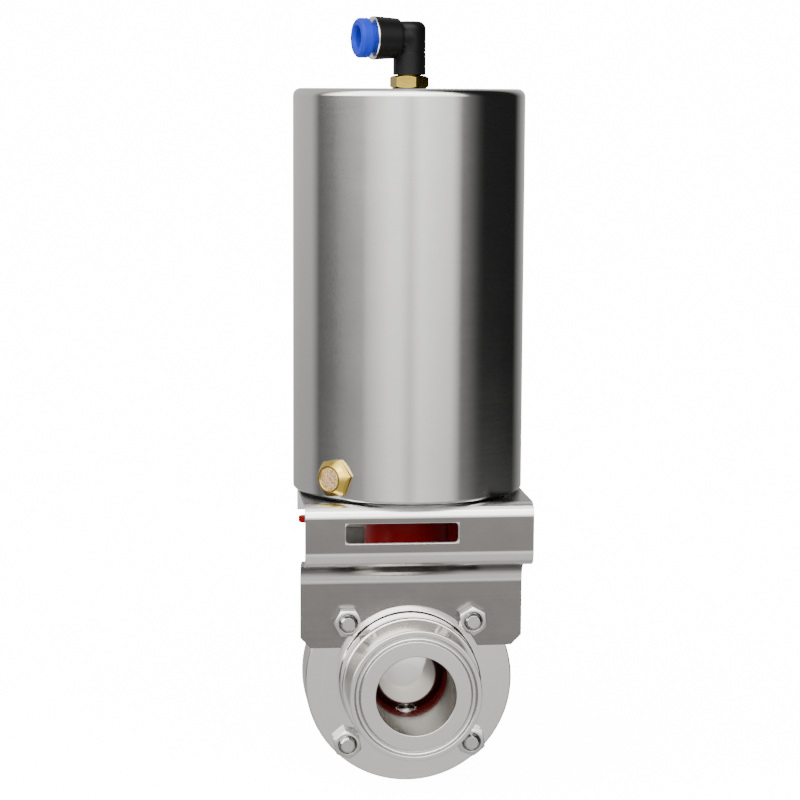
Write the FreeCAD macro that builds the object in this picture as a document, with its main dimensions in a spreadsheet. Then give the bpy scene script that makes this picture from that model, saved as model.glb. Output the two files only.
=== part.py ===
import FreeCAD, Part
import math
import os
import re
import Sketcher

# Sanitary butterfly valve with a single-acting pneumatic actuator.
# Millimetres. Origin: where the stem axis (Z, up) meets the flow axis (Y).
# The ferrule that faces -Y is the front one; +X is to its right.

os.makedirs("parts", exist_ok=True)
doc = FreeCAD.newDocument("ButterflyValve")
sizes = doc.addObject("Spreadsheet::Sheet", "Sizes")

SIZES = (
    # flow path and clamp ferrules
    ("bore_d", 30.5, "inside diameter of the flow path"),
    ("half_length", 36.5, "ferrule face from the stem axis"),
    ("lip_d", 50.5, "clamp lip diameter"),
    ("lip_rim", 1.5, "straight rim of the clamp lip"),
    ("lip_slope", 20, "slope of the back of the lip, degrees"),
    ("neck_d", 34, "tube neck behind the lip"),
    ("gasket_edge", 2.95, "middle of the gasket groove from the edge of the lip"),
    ("gasket_w", 2.4, "width of the gasket groove"),
    ("gasket_depth", 1.4, "depth of the gasket groove"),
    # body halves
    ("hub_d", 54, "raised hub round the neck"),
    ("hub_reach", 21.6, "hub face from the stem axis"),
    ("flange_d", 80.6, "round body flange"),
    ("flange_t", 10.3, "thickness of one body half at the flange"),
    ("edge_break", 0.8, "broken edges on the body"),
    ("bolt_circle", 68.4, "bolt circle of the body"),
    # seat and disc
    ("seat_d", 44, "outside of the rubber seat"),
    ("seat_w", 18, "width of the rubber seat"),
    ("seat_land", 6, "straight sealing land in the seat"),
    ("seat_bore", 29.2, "sealing diameter of the seat"),
    ("disc_rim", 2.8, "thickness of the disc at its rim"),
    ("disc_mid", 6.4, "thickness of the disc in the middle"),
    ("hub_neck_d", 4.8, "slim part of the disc hub"),
    ("trunnion_d", 8, "trunnion under the disc"),
    ("collar_z", 13.6, "trunnion collar below the flow axis"),
    ("collar_flare", 1.6, "height of the flare above the collar"),
    # fits
    ("run_gap", 0.05, "radial gap of a turning or sliding fit"),
    ("hole_gap", 0.3, "radial gap of a bolt in its hole"),
    ("loose_gap", 0.5, "radial gap between parts that must not touch"),
    # stem and its bushes
    ("stem_d", 10, "valve stem"),
    ("stem_square", 7, "square on top of the stem"),
    ("tang_square", 2.8, "square tang of the stem in the disc"),
    ("tang_len", 7.5, "depth of the tang in the disc"),
    ("bush_d", 14, "outside of the stem bushes"),
    ("bush_head_d", 18, "head of the upper bush"),
    ("bush_head_t", 2, "thickness of the head of the upper bush"),
    ("lower_bush_len", 9, "length of the lower bush"),
    ("ring_wire", 1.5, "section of the stem seal rings"),
    ("ring_pitch", 6, "distance between the stem seal rings"),
    # coupling and indicator
    ("coupling_lift", 7.7, "coupling above the edge of the body flange"),
    ("coupling_d", 24, "outside of the coupling"),
    ("coupling_drop", 3.3, "coupling below the top of the brackets"),
    ("stem_grip", 9, "depth of the stem square in the coupling"),
    ("shaft_square", 11, "square under the actuator shaft"),
    ("indicator_drop", 11, "bottom of the indicator hub below the pointer"),
    ("indicator_d", 33, "indicator hub"),
    ("indicator_len", 14.5, "length of the indicator hub"),
    ("pointer_reach", 42.2, "pointer tip from the stem axis"),
    ("pointer_drop", 2.4, "underside of the pointer below the middle of the slot"),
    ("pointer_t", 2.5, "thickness of the pointer"),
    ("pointer_root", 10, "width of the pointer at the hub"),
    ("pointer_tip", 5, "width of the pointer at its tip"),
    ("pointer_round", 1.5, "corners of the pointer tip"),
    ("tail_reach", 21.5, "end of the short tail opposite to the pointer"),
    ("tail_w", 10, "width of the tail"),
    # bent sheet brackets
    ("sheet_t", 2, "bracket sheet"),
    ("bracket_w", 86, "width of the front bracket"),
    ("bracket_shift", 0.7, "front bracket off centre towards +X"),
    ("bracket_front", 40, "window plate from the stem axis"),
    ("bracket_top", 74.3, "top of the brackets"),
    ("shelf_drop", 28.3, "corner between leg and shelf below the top of the brackets"),
    ("shelf_slope", 10, "rise of the shelf towards the window plate"),
    ("leg_bottom", 13.6, "lower edge of the legs"),
    ("bend_r", 3.2, "inside bend of the window plate"),
    ("leg_bend_r", 7.6, "inside bend over the leg"),
    ("notch_d", 59.6, "round notch of the leg over the hub"),
    ("leg_corner", 4, "chamfered corners of the leg"),
    ("window_x", -6, "middle of the window slot"),
    ("window_drop", 10.9, "middle of the window slot below the top of the brackets"),
    ("window_w", 42.4, "width of the window slot"),
    ("window_h", 7.6, "height of the opening of the slot"),
    ("window_corner", 1.6, "corner radius of the slot"),
    ("rear_w", 80.6, "width of the rear bracket at its top"),
    ("rear_low_w", 66, "width of the rear bracket below its shoulders"),
    ("shoulder_rise", 13, "shoulders of the rear bracket above the shelf corner"),
    ("shaft_hole_d", 34, "hole for the shaft in the top plates"),
    ("screw_x", 19, "bracket screws from the stem axis, both ways"),
    # threaded pieces
    ("bolt_d", 6, "body bolts and bracket screws"),
    ("bolt_af", 10, "across flats of bolt heads and nuts"),
    ("nut_t", 5, "thickness of a nut"),
    ("head_t", 4, "thickness of a bolt head"),
    ("bolt_end", 1.2, "bolt beyond its nut"),
    ("screw_head_d", 10, "head of a bracket screw"),
    ("screw_socket", 5, "hexagon socket of a bracket screw"),
    ("screw_grip", 7, "bracket screw in the base"),
    # actuator cylinder
    ("can_d", 88.6, "outside of the cylinder"),
    ("can_wall", 2, "wall of the cylinder"),
    ("can_end", 3, "closed end of the cylinder"),
    ("can_lift", 0.7, "lower edge of the cylinder above the brackets"),
    ("can_height", 153, "height of the cylinder"),
    ("can_top_r", 3, "rounded edge of the closed end"),
    ("can_foot_r", 1.7, "rounded lower edge"),
    # actuator base and bearing
    ("rim_lift", 3.5, "base rim above the lower edge of the cylinder"),
    ("rim_t", 13.5, "height of the base rim"),
    ("foot_step", 4.3, "foot of the base inside the wall of the cylinder"),
    ("ring_t", 1.6, "thickness of the retaining ring"),
    ("ring_bite", 0.9, "retaining ring in the cylinder wall"),
    ("ring_w", 3, "radial width of the retaining ring"),
    ("shaft_d", 19, "actuator shaft in its bearing"),
    ("bearing_d", 23, "outside of the shaft bearing"),
    ("washer_t", 1.5, "thrust washer"),
    ("clip_t", 1, "shaft circlip"),
    # helical cam and straight guide
    ("stroke", 24, "piston travel for a quarter turn"),
    ("pin_drop", 46, "cross pin below the piston crown"),
    ("pin_d", 6, "cross pin"),
    ("roller_d", 9, "rollers on the cross pin"),
    ("rod_d", 26, "piston rod"),
    ("cam_wall", 4, "wall of the cam drum"),
    ("cam_over", 16, "cam drum above the pin"),
    ("cam_floor", 14.5, "bore of the cam drum below the lowest place of the pin"),
    ("slot_over", 5.4, "rise of each helical slot beyond both ends of the travel"),
    ("guide_wall", 4, "wall of the guide sleeve"),
    ("guide_over", 12, "guide sleeve above the pin"),
    ("guide_seat", 3, "guide sleeve sunk in the base"),
    ("rod_over", 9, "piston rod below the pin"),
    # piston and spring
    ("crown_t", 14, "piston crown"),
    ("crown_gap", 3, "piston under the closed end at rest"),
    ("spring_seat", 3, "spring locating step under the piston crown"),
    ("seal_w", 4, "width of the piston seal"),
    ("seal_depth", 3.4, "depth of the seal groove"),
    ("guide_ring_w", 3.6, "width of the piston guide ring"),
    ("guide_ring_t", 1.6, "thickness of the piston guide ring"),
    ("piston_gap", 0.2, "radial gap of the bare piston"),
    ("spring_d", 62, "mean diameter of the return spring"),
    ("spring_wire", 5.6, "spring wire"),
    ("spring_turns", 6, "turns of the return spring"),
    # breather silencer
    ("port_angle", 43.7, "breather direction from -Y towards -X"),
    ("port_floor", 0.1, "base rim below the breather thread"),
    ("port_thread_d", 9.6, "port threads"),
    ("port_af", 13, "hexagons of the two port fittings"),
    ("port_bore", 5, "bore of the two port fittings"),
    ("silencer_len", 3.8, "hexagon of the silencer"),
    ("silencer_turn", 8, "turn of the hexagon about its axis"),
    ("silencer_nose_d", 10.2, "round face in front of the hexagon"),
    ("silencer_slope", 48, "slope of the cone behind the round face"),
    ("plug_d", 8.6, "sintered plug"),
    ("plug_sink", 0.3, "plug behind the face of the silencer"),
    ("port_depth", 9, "silencer thread in the base"),
    # elbow fitting
    ("stud_hex", 4.8, "hexagon of the elbow stud"),
    ("stud_in", 6, "stud thread below the hexagon"),
    ("spigot_d", 9, "spigot that the elbow turns on"),
    ("spigot_len", 7.5, "length of the spigot"),
    ("elbow_angle", 15.5, "socket direction from -X towards -Y"),
    ("elbow_d", 12.4, "upright of the elbow"),
    ("elbow_gap", 0.2, "elbow above its hexagon"),
    ("elbow_cap", 6.5, "top of the elbow above the middle of its socket"),
    ("elbow_corner", 4, "rounded corner of the elbow"),
    ("socket_rise", 14, "middle of the tube socket above the hexagon of the stud"),
    ("socket_d", 16.5, "socket at its mouth"),
    ("socket_root_d", 15, "socket at its root"),
    ("socket_start", 4.9, "socket root from the swivel axis"),
    ("socket_end", 15.4, "socket mouth from the swivel axis"),
    ("tube_d", 8, "tube that the elbow takes"),
    ("tube_stop", 6, "tube stop from the swivel axis"),
    ("air_bore", 5.5, "air passage of the elbow"),
    ("mouth_ring_d", 14.6, "metal ring in the mouth"),
    ("mouth_ring_len", 5, "length of the metal ring"),
    ("mouth_ring_back", 0.3, "metal ring behind the edge of the mouth"),
    ("tube_seal_d", 12, "outside of the tube seal"),
    ("tube_seal_len", 3, "length of the tube seal"),
    ("swivel_ring_wire", 1.2, "section of the swivel seal ring"),
    ("collet_d", 15, "release ring flange"),
    ("collet_t", 4.4, "thickness of the release ring flange"),
    ("collet_gap", 1.7, "release ring flange in front of the mouth"),
    ("collet_wall", 1.3, "wall of the release ring sleeve"),
    ("collet_in", 3.4, "release ring sleeve inside the mouth"),
    ("collet_edge", 0.9, "broken rim of the release ring"),
    ("collet_flare", 0.6, "lead-in for the tube"),
)

for row, (alias, value, note) in enumerate(SIZES, start=1):
    sizes.set("A%d" % row, note)
    sizes.set("B%d" % row, str(value))
    sizes.setAlias("B%d" % row, alias)
doc.recompute()

# Heights above the flow axis, each from the piece that carries it.
HEIGHTS = (
    ("elbow_top", "(socket_z + elbow_cap)"),
    ("socket_z", "(can_top + stud_hex + socket_rise)"),
    ("pin_z", "(can_top - can_end - crown_gap - crown_t - pin_drop)"),
    ("can_top", "(can_bottom + can_height)"),
    ("port_z", "(base_rim_z + port_floor + port_thread_d/2)"),
    ("base_top", "(base_rim_z + rim_t)"),
    ("base_rim_z", "(can_bottom + rim_lift)"),
    ("can_bottom", "(bracket_top + can_lift)"),
    ("indicator_z", "(pointer_z - indicator_drop)"),
    ("pointer_z", "(window_z - pointer_drop)"),
    ("window_z", "(bracket_top - window_drop)"),
    ("shoulder_z", "(shelf_z + shoulder_rise)"),
    ("shelf_z", "(bracket_top - shelf_drop)"),
    ("coupling_top", "(bracket_top - coupling_drop)"),
    ("coupling_z", "(flange_d/2 + coupling_lift)"),
)

ALIASES = re.compile(r"\b(" + "|".join(name for name, value, note in SIZES) + r")\b")


def tie(text):
    """An expression on the sheet, written with the bare names of sizes and heights."""
    for name, rule in HEIGHTS:
        text = re.sub(r"\b%s\b" % name, rule, text)
    return ALIASES.sub(r"Sizes.\1", text)


def size(name):
    return float(sizes.get(name))


def new_body(label):
    body = doc.addObject("PartDesign::Body", label)
    body.Label = label
    return body


def origin_plane(body, role):
    for item in body.Origin.OriginFeatures:
        if item.Role == role:
            return item


def new_sketch(body, role, name, offset=None):
    """A sketch on an origin plane, moved along its own normal by offset."""
    sketch = body.newObject("Sketcher::SketchObject", name)
    sketch.AttachmentSupport = (origin_plane(body, role), [""])
    sketch.MapMode = "FlatFace"
    if offset:
        sketch.setExpression("AttachmentOffset.Base.z", tie(offset))
    return sketch


def place_point(sketch, geometry, position, across, along):
    """Ties one point to the sketch axes: across is sideways, along is upwards."""
    for kind, axis, text in (("DistanceX", -2, across), ("DistanceY", -1, along)):
        if text == "0":
            sketch.addConstraint(Sketcher.Constraint("PointOnObject", geometry, position, axis))
            continue
        index = sketch.addConstraint(Sketcher.Constraint(kind, -1, 1, geometry, position, 1.0))
        sketch.setExpression("Constraints[%d]" % index, tie(text))


def polygon(sketch, corners):
    """A closed outline through corners, each tied to the sheet."""
    count = len(corners)
    spots = []
    for number in range(count):
        turn = 2 * math.pi * number / count
        spots.append(FreeCAD.Vector(20 + 10 * math.cos(turn), 20 + 10 * math.sin(turn), 0))
    first = sketch.GeometryCount
    for number in range(count):
        sketch.addGeometry(Part.LineSegment(spots[number], spots[(number + 1) % count]))
    for number in range(count):
        follower = first + (number + 1) % count
        sketch.addConstraint(Sketcher.Constraint("Coincident", first + number, 2, follower, 1))
    for number, (across, along) in enumerate(corners):
        place_point(sketch, first + number, 1, across, along)


def circle(sketch, across, along, diameter):
    index = sketch.addGeometry(Part.Circle(FreeCAD.Vector(9, 9, 0), FreeCAD.Vector(0, 0, 1), 5))
    place_point(sketch, index, 3, across, along)
    rule = sketch.addConstraint(Sketcher.Constraint("Diameter", index, 10.0))
    sketch.setExpression("Constraints[%d]" % rule, tie(diameter))


def rectangle(sketch, across, along, width, height):
    """A rectangle about the point (across, along)."""
    left = "%s - (%s)/2" % (across, width)
    right = "%s + (%s)/2" % (across, width)
    low = "%s - (%s)/2" % (along, height)
    high = "%s + (%s)/2" % (along, height)
    polygon(sketch, [(left, low), (right, low), (right, high), (left, high)])


def hexagon(sketch, flats):
    """A hexagon about the sketch origin, with a corner on its sideways axis."""
    corner = "(%s)/sqrt(3)" % flats
    half = "(%s)/sqrt(3)/2" % flats
    flat = "(%s)/2" % flats
    polygon(sketch, [(corner, "0"), (half, flat), ("-" + half, flat),
                     ("-" + corner, "0"), ("-" + half, "-" + flat), (half, "-" + flat)])


def revolve(body, sketch, axis, name="Turned"):
    feature = body.newObject("PartDesign::Revolution", name)
    feature.Profile = sketch
    feature.ReferenceAxis = (sketch, [axis])
    feature.Angle = 360
    return feature


def groove(body, sketch, axis, name="Groove"):
    feature = body.newObject("PartDesign::Groove", name)
    feature.Profile = sketch
    feature.ReferenceAxis = (sketch, [axis])
    feature.Angle = 360
    return feature


def pad(body, sketch, length, both_ways=False, back=False, name="Pad"):
    feature = body.newObject("PartDesign::Pad", name)
    feature.Profile = sketch
    feature.setExpression("Length", tie(length))
    feature.Midplane = both_ways
    feature.Reversed = back
    return feature


def cut(body, sketch, length, both_ways=False, back=False, name="Pocket"):
    """A pocket that must take material away, or the build stops."""
    doc.recompute()
    before = body.Shape.Volume
    feature = body.newObject("PartDesign::Pocket", name)
    feature.Profile = sketch
    feature.setExpression("Length", tie(length))
    feature.Midplane = both_ways
    feature.Reversed = back
    doc.recompute()
    if body.Shape.Volume > before - 0.01:
        raise RuntimeError("%s: %s cuts nothing" % (body.Label, sketch.Label))
    return feature


def around(body, features, axis, count, name="Pattern"):
    """Copies features round an axis of the body's origin."""
    pattern = body.newObject("PartDesign::PolarPattern", name)
    pattern.Originals = features
    pattern.Axis = (origin_plane(body, axis), [""])
    pattern.Angle = 360
    pattern.Occurrences = count
    body.Tip = pattern
    return pattern


def edges_near(shape, test):
    """Names of the edges whose middle passes the test."""
    names = []
    for number, edge in enumerate(shape.Edges, start=1):
        middle = edge.valueAt((edge.FirstParameter + edge.LastParameter) / 2)
        ends = [point.Point for point in edge.Vertexes]
        run = ends[-1] - ends[0]
        if test(middle, run):
            names.append("Edge%d" % number)
    return names


def round_edges(body, base, names, radius, kind="Fillet"):
    feature = body.newObject("PartDesign::" + kind, kind)
    feature.Base = (base, names)
    feature.setExpression("Radius" if kind == "Fillet" else "Size", tie(radius))
    return feature


def turned(label, outline, axis="Z"):
    """A turned piece. outline holds (radius, height) pairs, or (y, radius) for axis Y."""
    body = new_body(label)
    if axis == "Z":
        sketch = new_sketch(body, "XZ_Plane", label + "_outline")
        polygon(sketch, outline)
        revolve(body, sketch, "V_Axis")
    elif axis == "Y":
        sketch = new_sketch(body, "YZ_Plane", label + "_outline")
        polygon(sketch, outline)
        revolve(body, sketch, "H_Axis")
    else:
        sketch = new_sketch(body, "XZ_Plane", label + "_outline")
        polygon(sketch, outline)
        revolve(body, sketch, "H_Axis")
    return body


def ring(label, inner, outer, low, high):
    """A plain ring on the stem axis."""
    return turned(label, [(inner, low), (outer, low), (outer, high), (inner, high)])


def turn_about_stem(body, angle):
    body.Placement = FreeCAD.Placement(FreeCAD.Vector(), FreeCAD.Rotation(FreeCAD.Vector(0, 0, 1), 1))
    body.setExpression("Placement.Rotation.Angle", tie(angle))


def copies(label, master, spots):
    """One node of separate solids. spots holds (x, y, z, turn about Y, turn about Z)."""
    links = []
    for number, (x, y, z, tilt, spin) in enumerate(spots):
        link = doc.addObject("App::Link", "%s_%d" % (label, number))
        link.LinkedObject = master
        turn = FreeCAD.Rotation(FreeCAD.Vector(0, 0, 1), spin)
        turn = turn.multiply(FreeCAD.Rotation(FreeCAD.Vector(0, 1, 0), tilt))
        link.Placement = FreeCAD.Placement(FreeCAD.Vector(), turn)
        for letter, text in (("x", x), ("y", y), ("z", z)):
            if text != "0":
                link.setExpression("Placement.Base." + letter, tie(text))
        links.append(link)
    group = doc.addObject("Part::Compound", label)
    group.Label = label
    group.Links = links
    return group


nodes = []

# Derived texts that several pieces share.
BOLT_OFF = "bolt_circle/2*sqrt(0.5)"
CAN_R = "(can_d/2 - can_wall)"
LEG_FACE = "(flange_t + sheet_t)"
CAM_BORE = "(rod_d/2 + loose_gap)"
CAM_R = "(rod_d/2 + loose_gap + cam_wall)"
GUIDE_BORE = "(rod_d/2 + 2*loose_gap + cam_wall)"
GUIDE_R = "(rod_d/2 + 2*loose_gap + cam_wall + guide_wall)"
CROWN_TOP = "(can_top - can_end - crown_gap)"
CROWN_LOW = "(can_top - can_end - crown_gap - crown_t)"


# Body halves: ferrule, neck, hub and flange are one turned piece each.
def body_half(label, side):
    out = "-" if side == "front" else ""
    slope = "(lip_d - neck_d)/2*tan(lip_slope)"
    body = turned(label, [
        (out + "half_length", "bore_d/2"),
        (out + "half_length", "lip_d/2 - gasket_edge - gasket_w/2"),
        (out + "(half_length - gasket_depth)", "lip_d/2 - gasket_edge - gasket_w/4"),
        (out + "(half_length - gasket_depth)", "lip_d/2 - gasket_edge + gasket_w/4"),
        (out + "half_length", "lip_d/2 - gasket_edge + gasket_w/2"),
        (out + "half_length", "lip_d/2 - edge_break/3"),
        (out + "(half_length - edge_break/3)", "lip_d/2"),
        (out + "(half_length - lip_rim)", "lip_d/2"),
        (out + "(half_length - lip_rim - %s)" % slope, "neck_d/2"),
        (out + "(hub_reach + edge_break)", "neck_d/2"),
        (out + "hub_reach", "neck_d/2 + edge_break"),
        (out + "hub_reach", "hub_d/2 - edge_break"),
        (out + "(hub_reach - edge_break)", "hub_d/2"),
        (out + "(flange_t + edge_break)", "hub_d/2"),
        (out + "flange_t", "hub_d/2 + edge_break"),
        (out + "flange_t", "flange_d/2 - edge_break"),
        (out + "(flange_t - edge_break)", "flange_d/2"),
        ("0", "flange_d/2"),
        ("0", "seat_d/2"),
        (out + "seat_w/2", "seat_d/2"),
        (out + "seat_w/2", "bore_d/2")], axis="Y")
    holes = new_sketch(body, "XZ_Plane", label + "_bolt_hole")
    circle(holes, BOLT_OFF, BOLT_OFF, "bolt_d + 2*hole_gap")
    hole = cut(body, holes, "2*flange_t + 4", both_ways=True)
    around(body, [hole], "Y_Axis", 4)
    upper = new_sketch(body, "XY_Plane", label + "_stem_bore")
    circle(upper, "0", "0", "bush_d")
    cut(body, upper, "flange_d/2 + 1", back=True)
    lower = new_sketch(body, "XY_Plane", label + "_trunnion_bore")
    circle(lower, "0", "0", "bush_d")
    cut(body, lower, "seat_d/2 + lower_bush_len")
    return body


nodes.append(body_half("front_body_half", "front"))
nodes.append(body_half("rear_body_half", "rear"))

# Rubber seat between the halves: its flanks flare from the sealing land to the bore.
seat = turned("seat", [
    ("-seat_w/2", "bore_d/2 + edge_break/2"),
    ("-(seat_w/2 - edge_break/2)", "bore_d/2"),
    ("-seat_land/2", "seat_bore/2"),
    ("seat_land/2", "seat_bore/2"),
    ("seat_w/2 - edge_break/2", "bore_d/2"),
    ("seat_w/2", "bore_d/2 + edge_break/2"),
    ("seat_w/2", "seat_d/2"),
    ("-seat_w/2", "seat_d/2")], axis="Y")
seat_hole = new_sketch(seat, "XY_Plane", "seat_stem_hole")
circle(seat_hole, "0", "0", "trunnion_d + 2*run_gap")
cut(seat, seat_hole, "seat_d + 2", both_ways=True)
nodes.append(seat)

# Disc: two shallow domes, a ball-shaped rim and the hub with its trunnion.
disc = new_body("disc")
section = new_sketch(disc, "YZ_Plane", "disc_section")
rim_r = size("seat_bore") / 2 - size("run_gap")
rim_y = size("disc_rim") / 2
rim_z = math.sqrt(rim_r ** 2 - rim_y ** 2)
dome = size("disc_mid") / 2 - rim_y
dome_r = (rim_z ** 2 + dome ** 2) / (2 * dome)


def dome_arc(sign):
    centre = FreeCAD.Vector(sign * (size("disc_mid") / 2 - dome_r), 0, 0)
    tip = math.atan2(rim_z, sign * rim_y - centre.x)
    flat = 0 if sign > 0 else math.pi
    ring_circle = Part.Circle(centre, FreeCAD.Vector(0, 0, 1), dome_r)
    return Part.ArcOfCircle(ring_circle, min(tip, flat), max(tip, flat))


right = section.addGeometry(dome_arc(1))
left = section.addGeometry(dome_arc(-1))
rim_turn = math.atan2(rim_z, rim_y)
rim_circle = Part.Circle(FreeCAD.Vector(), FreeCAD.Vector(0, 0, 1), rim_r)
rim = section.addGeometry(Part.ArcOfCircle(rim_circle, rim_turn, math.pi - rim_turn))
floor = section.addGeometry(Part.LineSegment(
    FreeCAD.Vector(-size("disc_mid") / 2, 0, 0), FreeCAD.Vector(size("disc_mid") / 2, 0, 0)))
for first, first_end, second, second_end in (
        (right, 2, rim, 1), (rim, 2, left, 1), (left, 2, floor, 1), (floor, 2, right, 1)):
    section.addConstraint(Sketcher.Constraint("Coincident", first, first_end, second, second_end))
section.addConstraint(Sketcher.Constraint("Coincident", rim, 3, -1, 1))
section.addConstraint(Sketcher.Constraint("PointOnObject", right, 3, -1))
section.addConstraint(Sketcher.Constraint("PointOnObject", left, 3, -1))
section.addConstraint(Sketcher.Constraint("PointOnObject", floor, 1, -1))
section.addConstraint(Sketcher.Constraint("Horizontal", floor))
for kind, line, end, value, text in (
        ("DistanceX", floor, 1, -size("disc_mid") / 2, "-disc_mid/2"),
        ("DistanceX", floor, 2, size("disc_mid") / 2, "disc_mid/2"),
        ("DistanceX", rim, 1, rim_y, "disc_rim/2"),
        ("DistanceX", rim, 2, -rim_y, "-disc_rim/2")):
    rule = section.addConstraint(Sketcher.Constraint(kind, -1, 1, line, end, value))
    section.setExpression("Constraints[%d]" % rule, tie(text))
rule = section.addConstraint(Sketcher.Constraint("Radius", rim, rim_r))
section.setExpression("Constraints[%d]" % rule, tie("seat_bore/2 - run_gap"))
revolve(disc, section, "H_Axis", "Plate")
hub_sketch = new_sketch(disc, "XZ_Plane", "disc_hub")
polygon(hub_sketch, [
    ("0", "collar_z"),
    ("trunnion_d/2", "collar_z"),
    ("hub_neck_d/2", "collar_z - collar_flare"),
    ("hub_neck_d/2", "-(collar_z - collar_flare)"),
    ("trunnion_d/2", "-collar_z"),
    ("trunnion_d/2", "-(seat_d/2 + lower_bush_len - loose_gap)"),
    ("0", "-(seat_d/2 + lower_bush_len - loose_gap)")])
revolve(disc, hub_sketch, "V_Axis", "Hub")
stem_seat = new_sketch(disc, "XY_Plane", "disc_stem_seat", offset="collar_z")
circle(stem_seat, "0", "0", "trunnion_d")
cut(disc, stem_seat, "seat_bore/2", back=True)
tang = new_sketch(disc, "XY_Plane", "disc_tang_socket", offset="collar_z")
rectangle(tang, "0", "0", "tang_square", "tang_square")
cut(disc, tang, "tang_len")
nodes.append(disc)

# Valve stem: tang in the disc, seal grooves in the bush, square in the coupling.
STEM_TOP = "(coupling_z + stem_grip)"
RING_LOW = "(seat_d/2 + ring_pitch)"
stem = turned("valve_stem", [
    ("0", "collar_z"),
    ("trunnion_d/2", "collar_z"),
    ("trunnion_d/2", "seat_d/2"),
    ("stem_d/2", "seat_d/2"),
    ("stem_d/2", RING_LOW + " - ring_wire/2"),
    ("stem_d/2 - ring_wire", RING_LOW + " - ring_wire/2"),
    ("stem_d/2 - ring_wire", RING_LOW + " + ring_wire/2"),
    ("stem_d/2", RING_LOW + " + ring_wire/2"),
    ("stem_d/2", RING_LOW + " + ring_pitch - ring_wire/2"),
    ("stem_d/2 - ring_wire", RING_LOW + " + ring_pitch - ring_wire/2"),
    ("stem_d/2 - ring_wire", RING_LOW + " + ring_pitch + ring_wire/2"),
    ("stem_d/2", RING_LOW + " + ring_pitch + ring_wire/2"),
    ("stem_d/2", "coupling_z"),
    ("0", "coupling_z")])
stem_tang = new_sketch(stem, "XY_Plane", "stem_tang", offset="collar_z")
rectangle(stem_tang, "0", "0", "tang_square", "tang_square")
pad(stem, stem_tang, "tang_len", back=True)
stem_square = new_sketch(stem, "XY_Plane", "stem_square_end", offset="coupling_z")
rectangle(stem_square, "0", "0", "stem_square", "stem_square")
pad(stem, stem_square, "stem_grip")
nodes.append(stem)

# Two seal rings in the stem grooves.
rings = []
for number in range(2):
    torus = doc.addObject("Part::Torus", "StemRing%d" % number)
    torus.setExpression("Radius1", tie("stem_d/2 - ring_wire/2"))
    torus.setExpression("Radius2", tie("ring_wire/2"))
    torus.setExpression("Placement.Base.z", tie(RING_LOW + " + %d*ring_pitch" % number))
    rings.append(torus)
stem_rings = doc.addObject("Part::Compound", "stem_seal_rings")
stem_rings.Label = "stem_seal_rings"
stem_rings.Links = rings
nodes.append(stem_rings)

# Bushes of the stem and of the trunnion, clamped between the halves.
nodes.append(turned("upper_stem_bush", [
    ("stem_d/2 + run_gap", "seat_d/2"),
    ("bush_d/2", "seat_d/2"),
    ("bush_d/2", "flange_d/2"),
    ("bush_head_d/2", "flange_d/2"),
    ("bush_head_d/2", "flange_d/2 + bush_head_t"),
    ("stem_d/2 + run_gap", "flange_d/2 + bush_head_t")]))
nodes.append(ring("lower_stem_bush", "trunnion_d/2 + run_gap", "bush_d/2",
                  "-(seat_d/2 + lower_bush_len)", "-seat_d/2"))

# Coupling: a sleeve with a square socket at each end.
coupling = ring("coupling", "stem_square/2 - 1", "coupling_d/2",
                "coupling_z", "coupling_top")
low_square = new_sketch(coupling, "XY_Plane", "stem_socket", offset="coupling_z")
rectangle(low_square, "0", "0", "stem_square", "stem_square")
cut(coupling, low_square, "stem_grip", back=True)
high_square = new_sketch(coupling, "XY_Plane", "shaft_socket", offset="coupling_top")
rectangle(high_square, "0", "0", "shaft_square", "shaft_square")
cut(coupling, high_square, "coupling_top - coupling_z - stem_grip - 1")
nodes.append(coupling)

# Indicator: a hub clipped on the coupling and a pointer that swings with the disc.
indicator = ring("indicator", "coupling_d/2", "indicator_d/2",
                 "indicator_z", "indicator_z + indicator_len")
arm = new_sketch(indicator, "XY_Plane", "pointer_outline", offset="pointer_z")
polygon(arm, [
    ("-(coupling_d/2 + pointer_round)", "-pointer_root/2"),
    ("-(coupling_d/2 + pointer_round)", "pointer_root/2"),
    ("-(pointer_reach - pointer_round)", "pointer_tip/2"),
    ("-pointer_reach", "pointer_tip/2 - pointer_round"),
    ("-pointer_reach", "-(pointer_tip/2 - pointer_round)"),
    ("-(pointer_reach - pointer_round)", "-pointer_tip/2")])
pad(indicator, arm, "pointer_t")
tail = new_sketch(indicator, "XY_Plane", "tail_outline", offset="indicator_z")
polygon(tail, [
    ("coupling_d/2 + pointer_round", "-tail_w/2"),
    ("tail_reach - pointer_round", "-tail_w/2"),
    ("tail_reach", "-(tail_w/2 - pointer_round)"),
    ("tail_reach", "tail_w/2 - pointer_round"),
    ("tail_reach - pointer_round", "tail_w/2"),
    ("coupling_d/2 + pointer_round", "tail_w/2")])
pad(indicator, tail, "indicator_len")
nodes.append(indicator)


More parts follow.
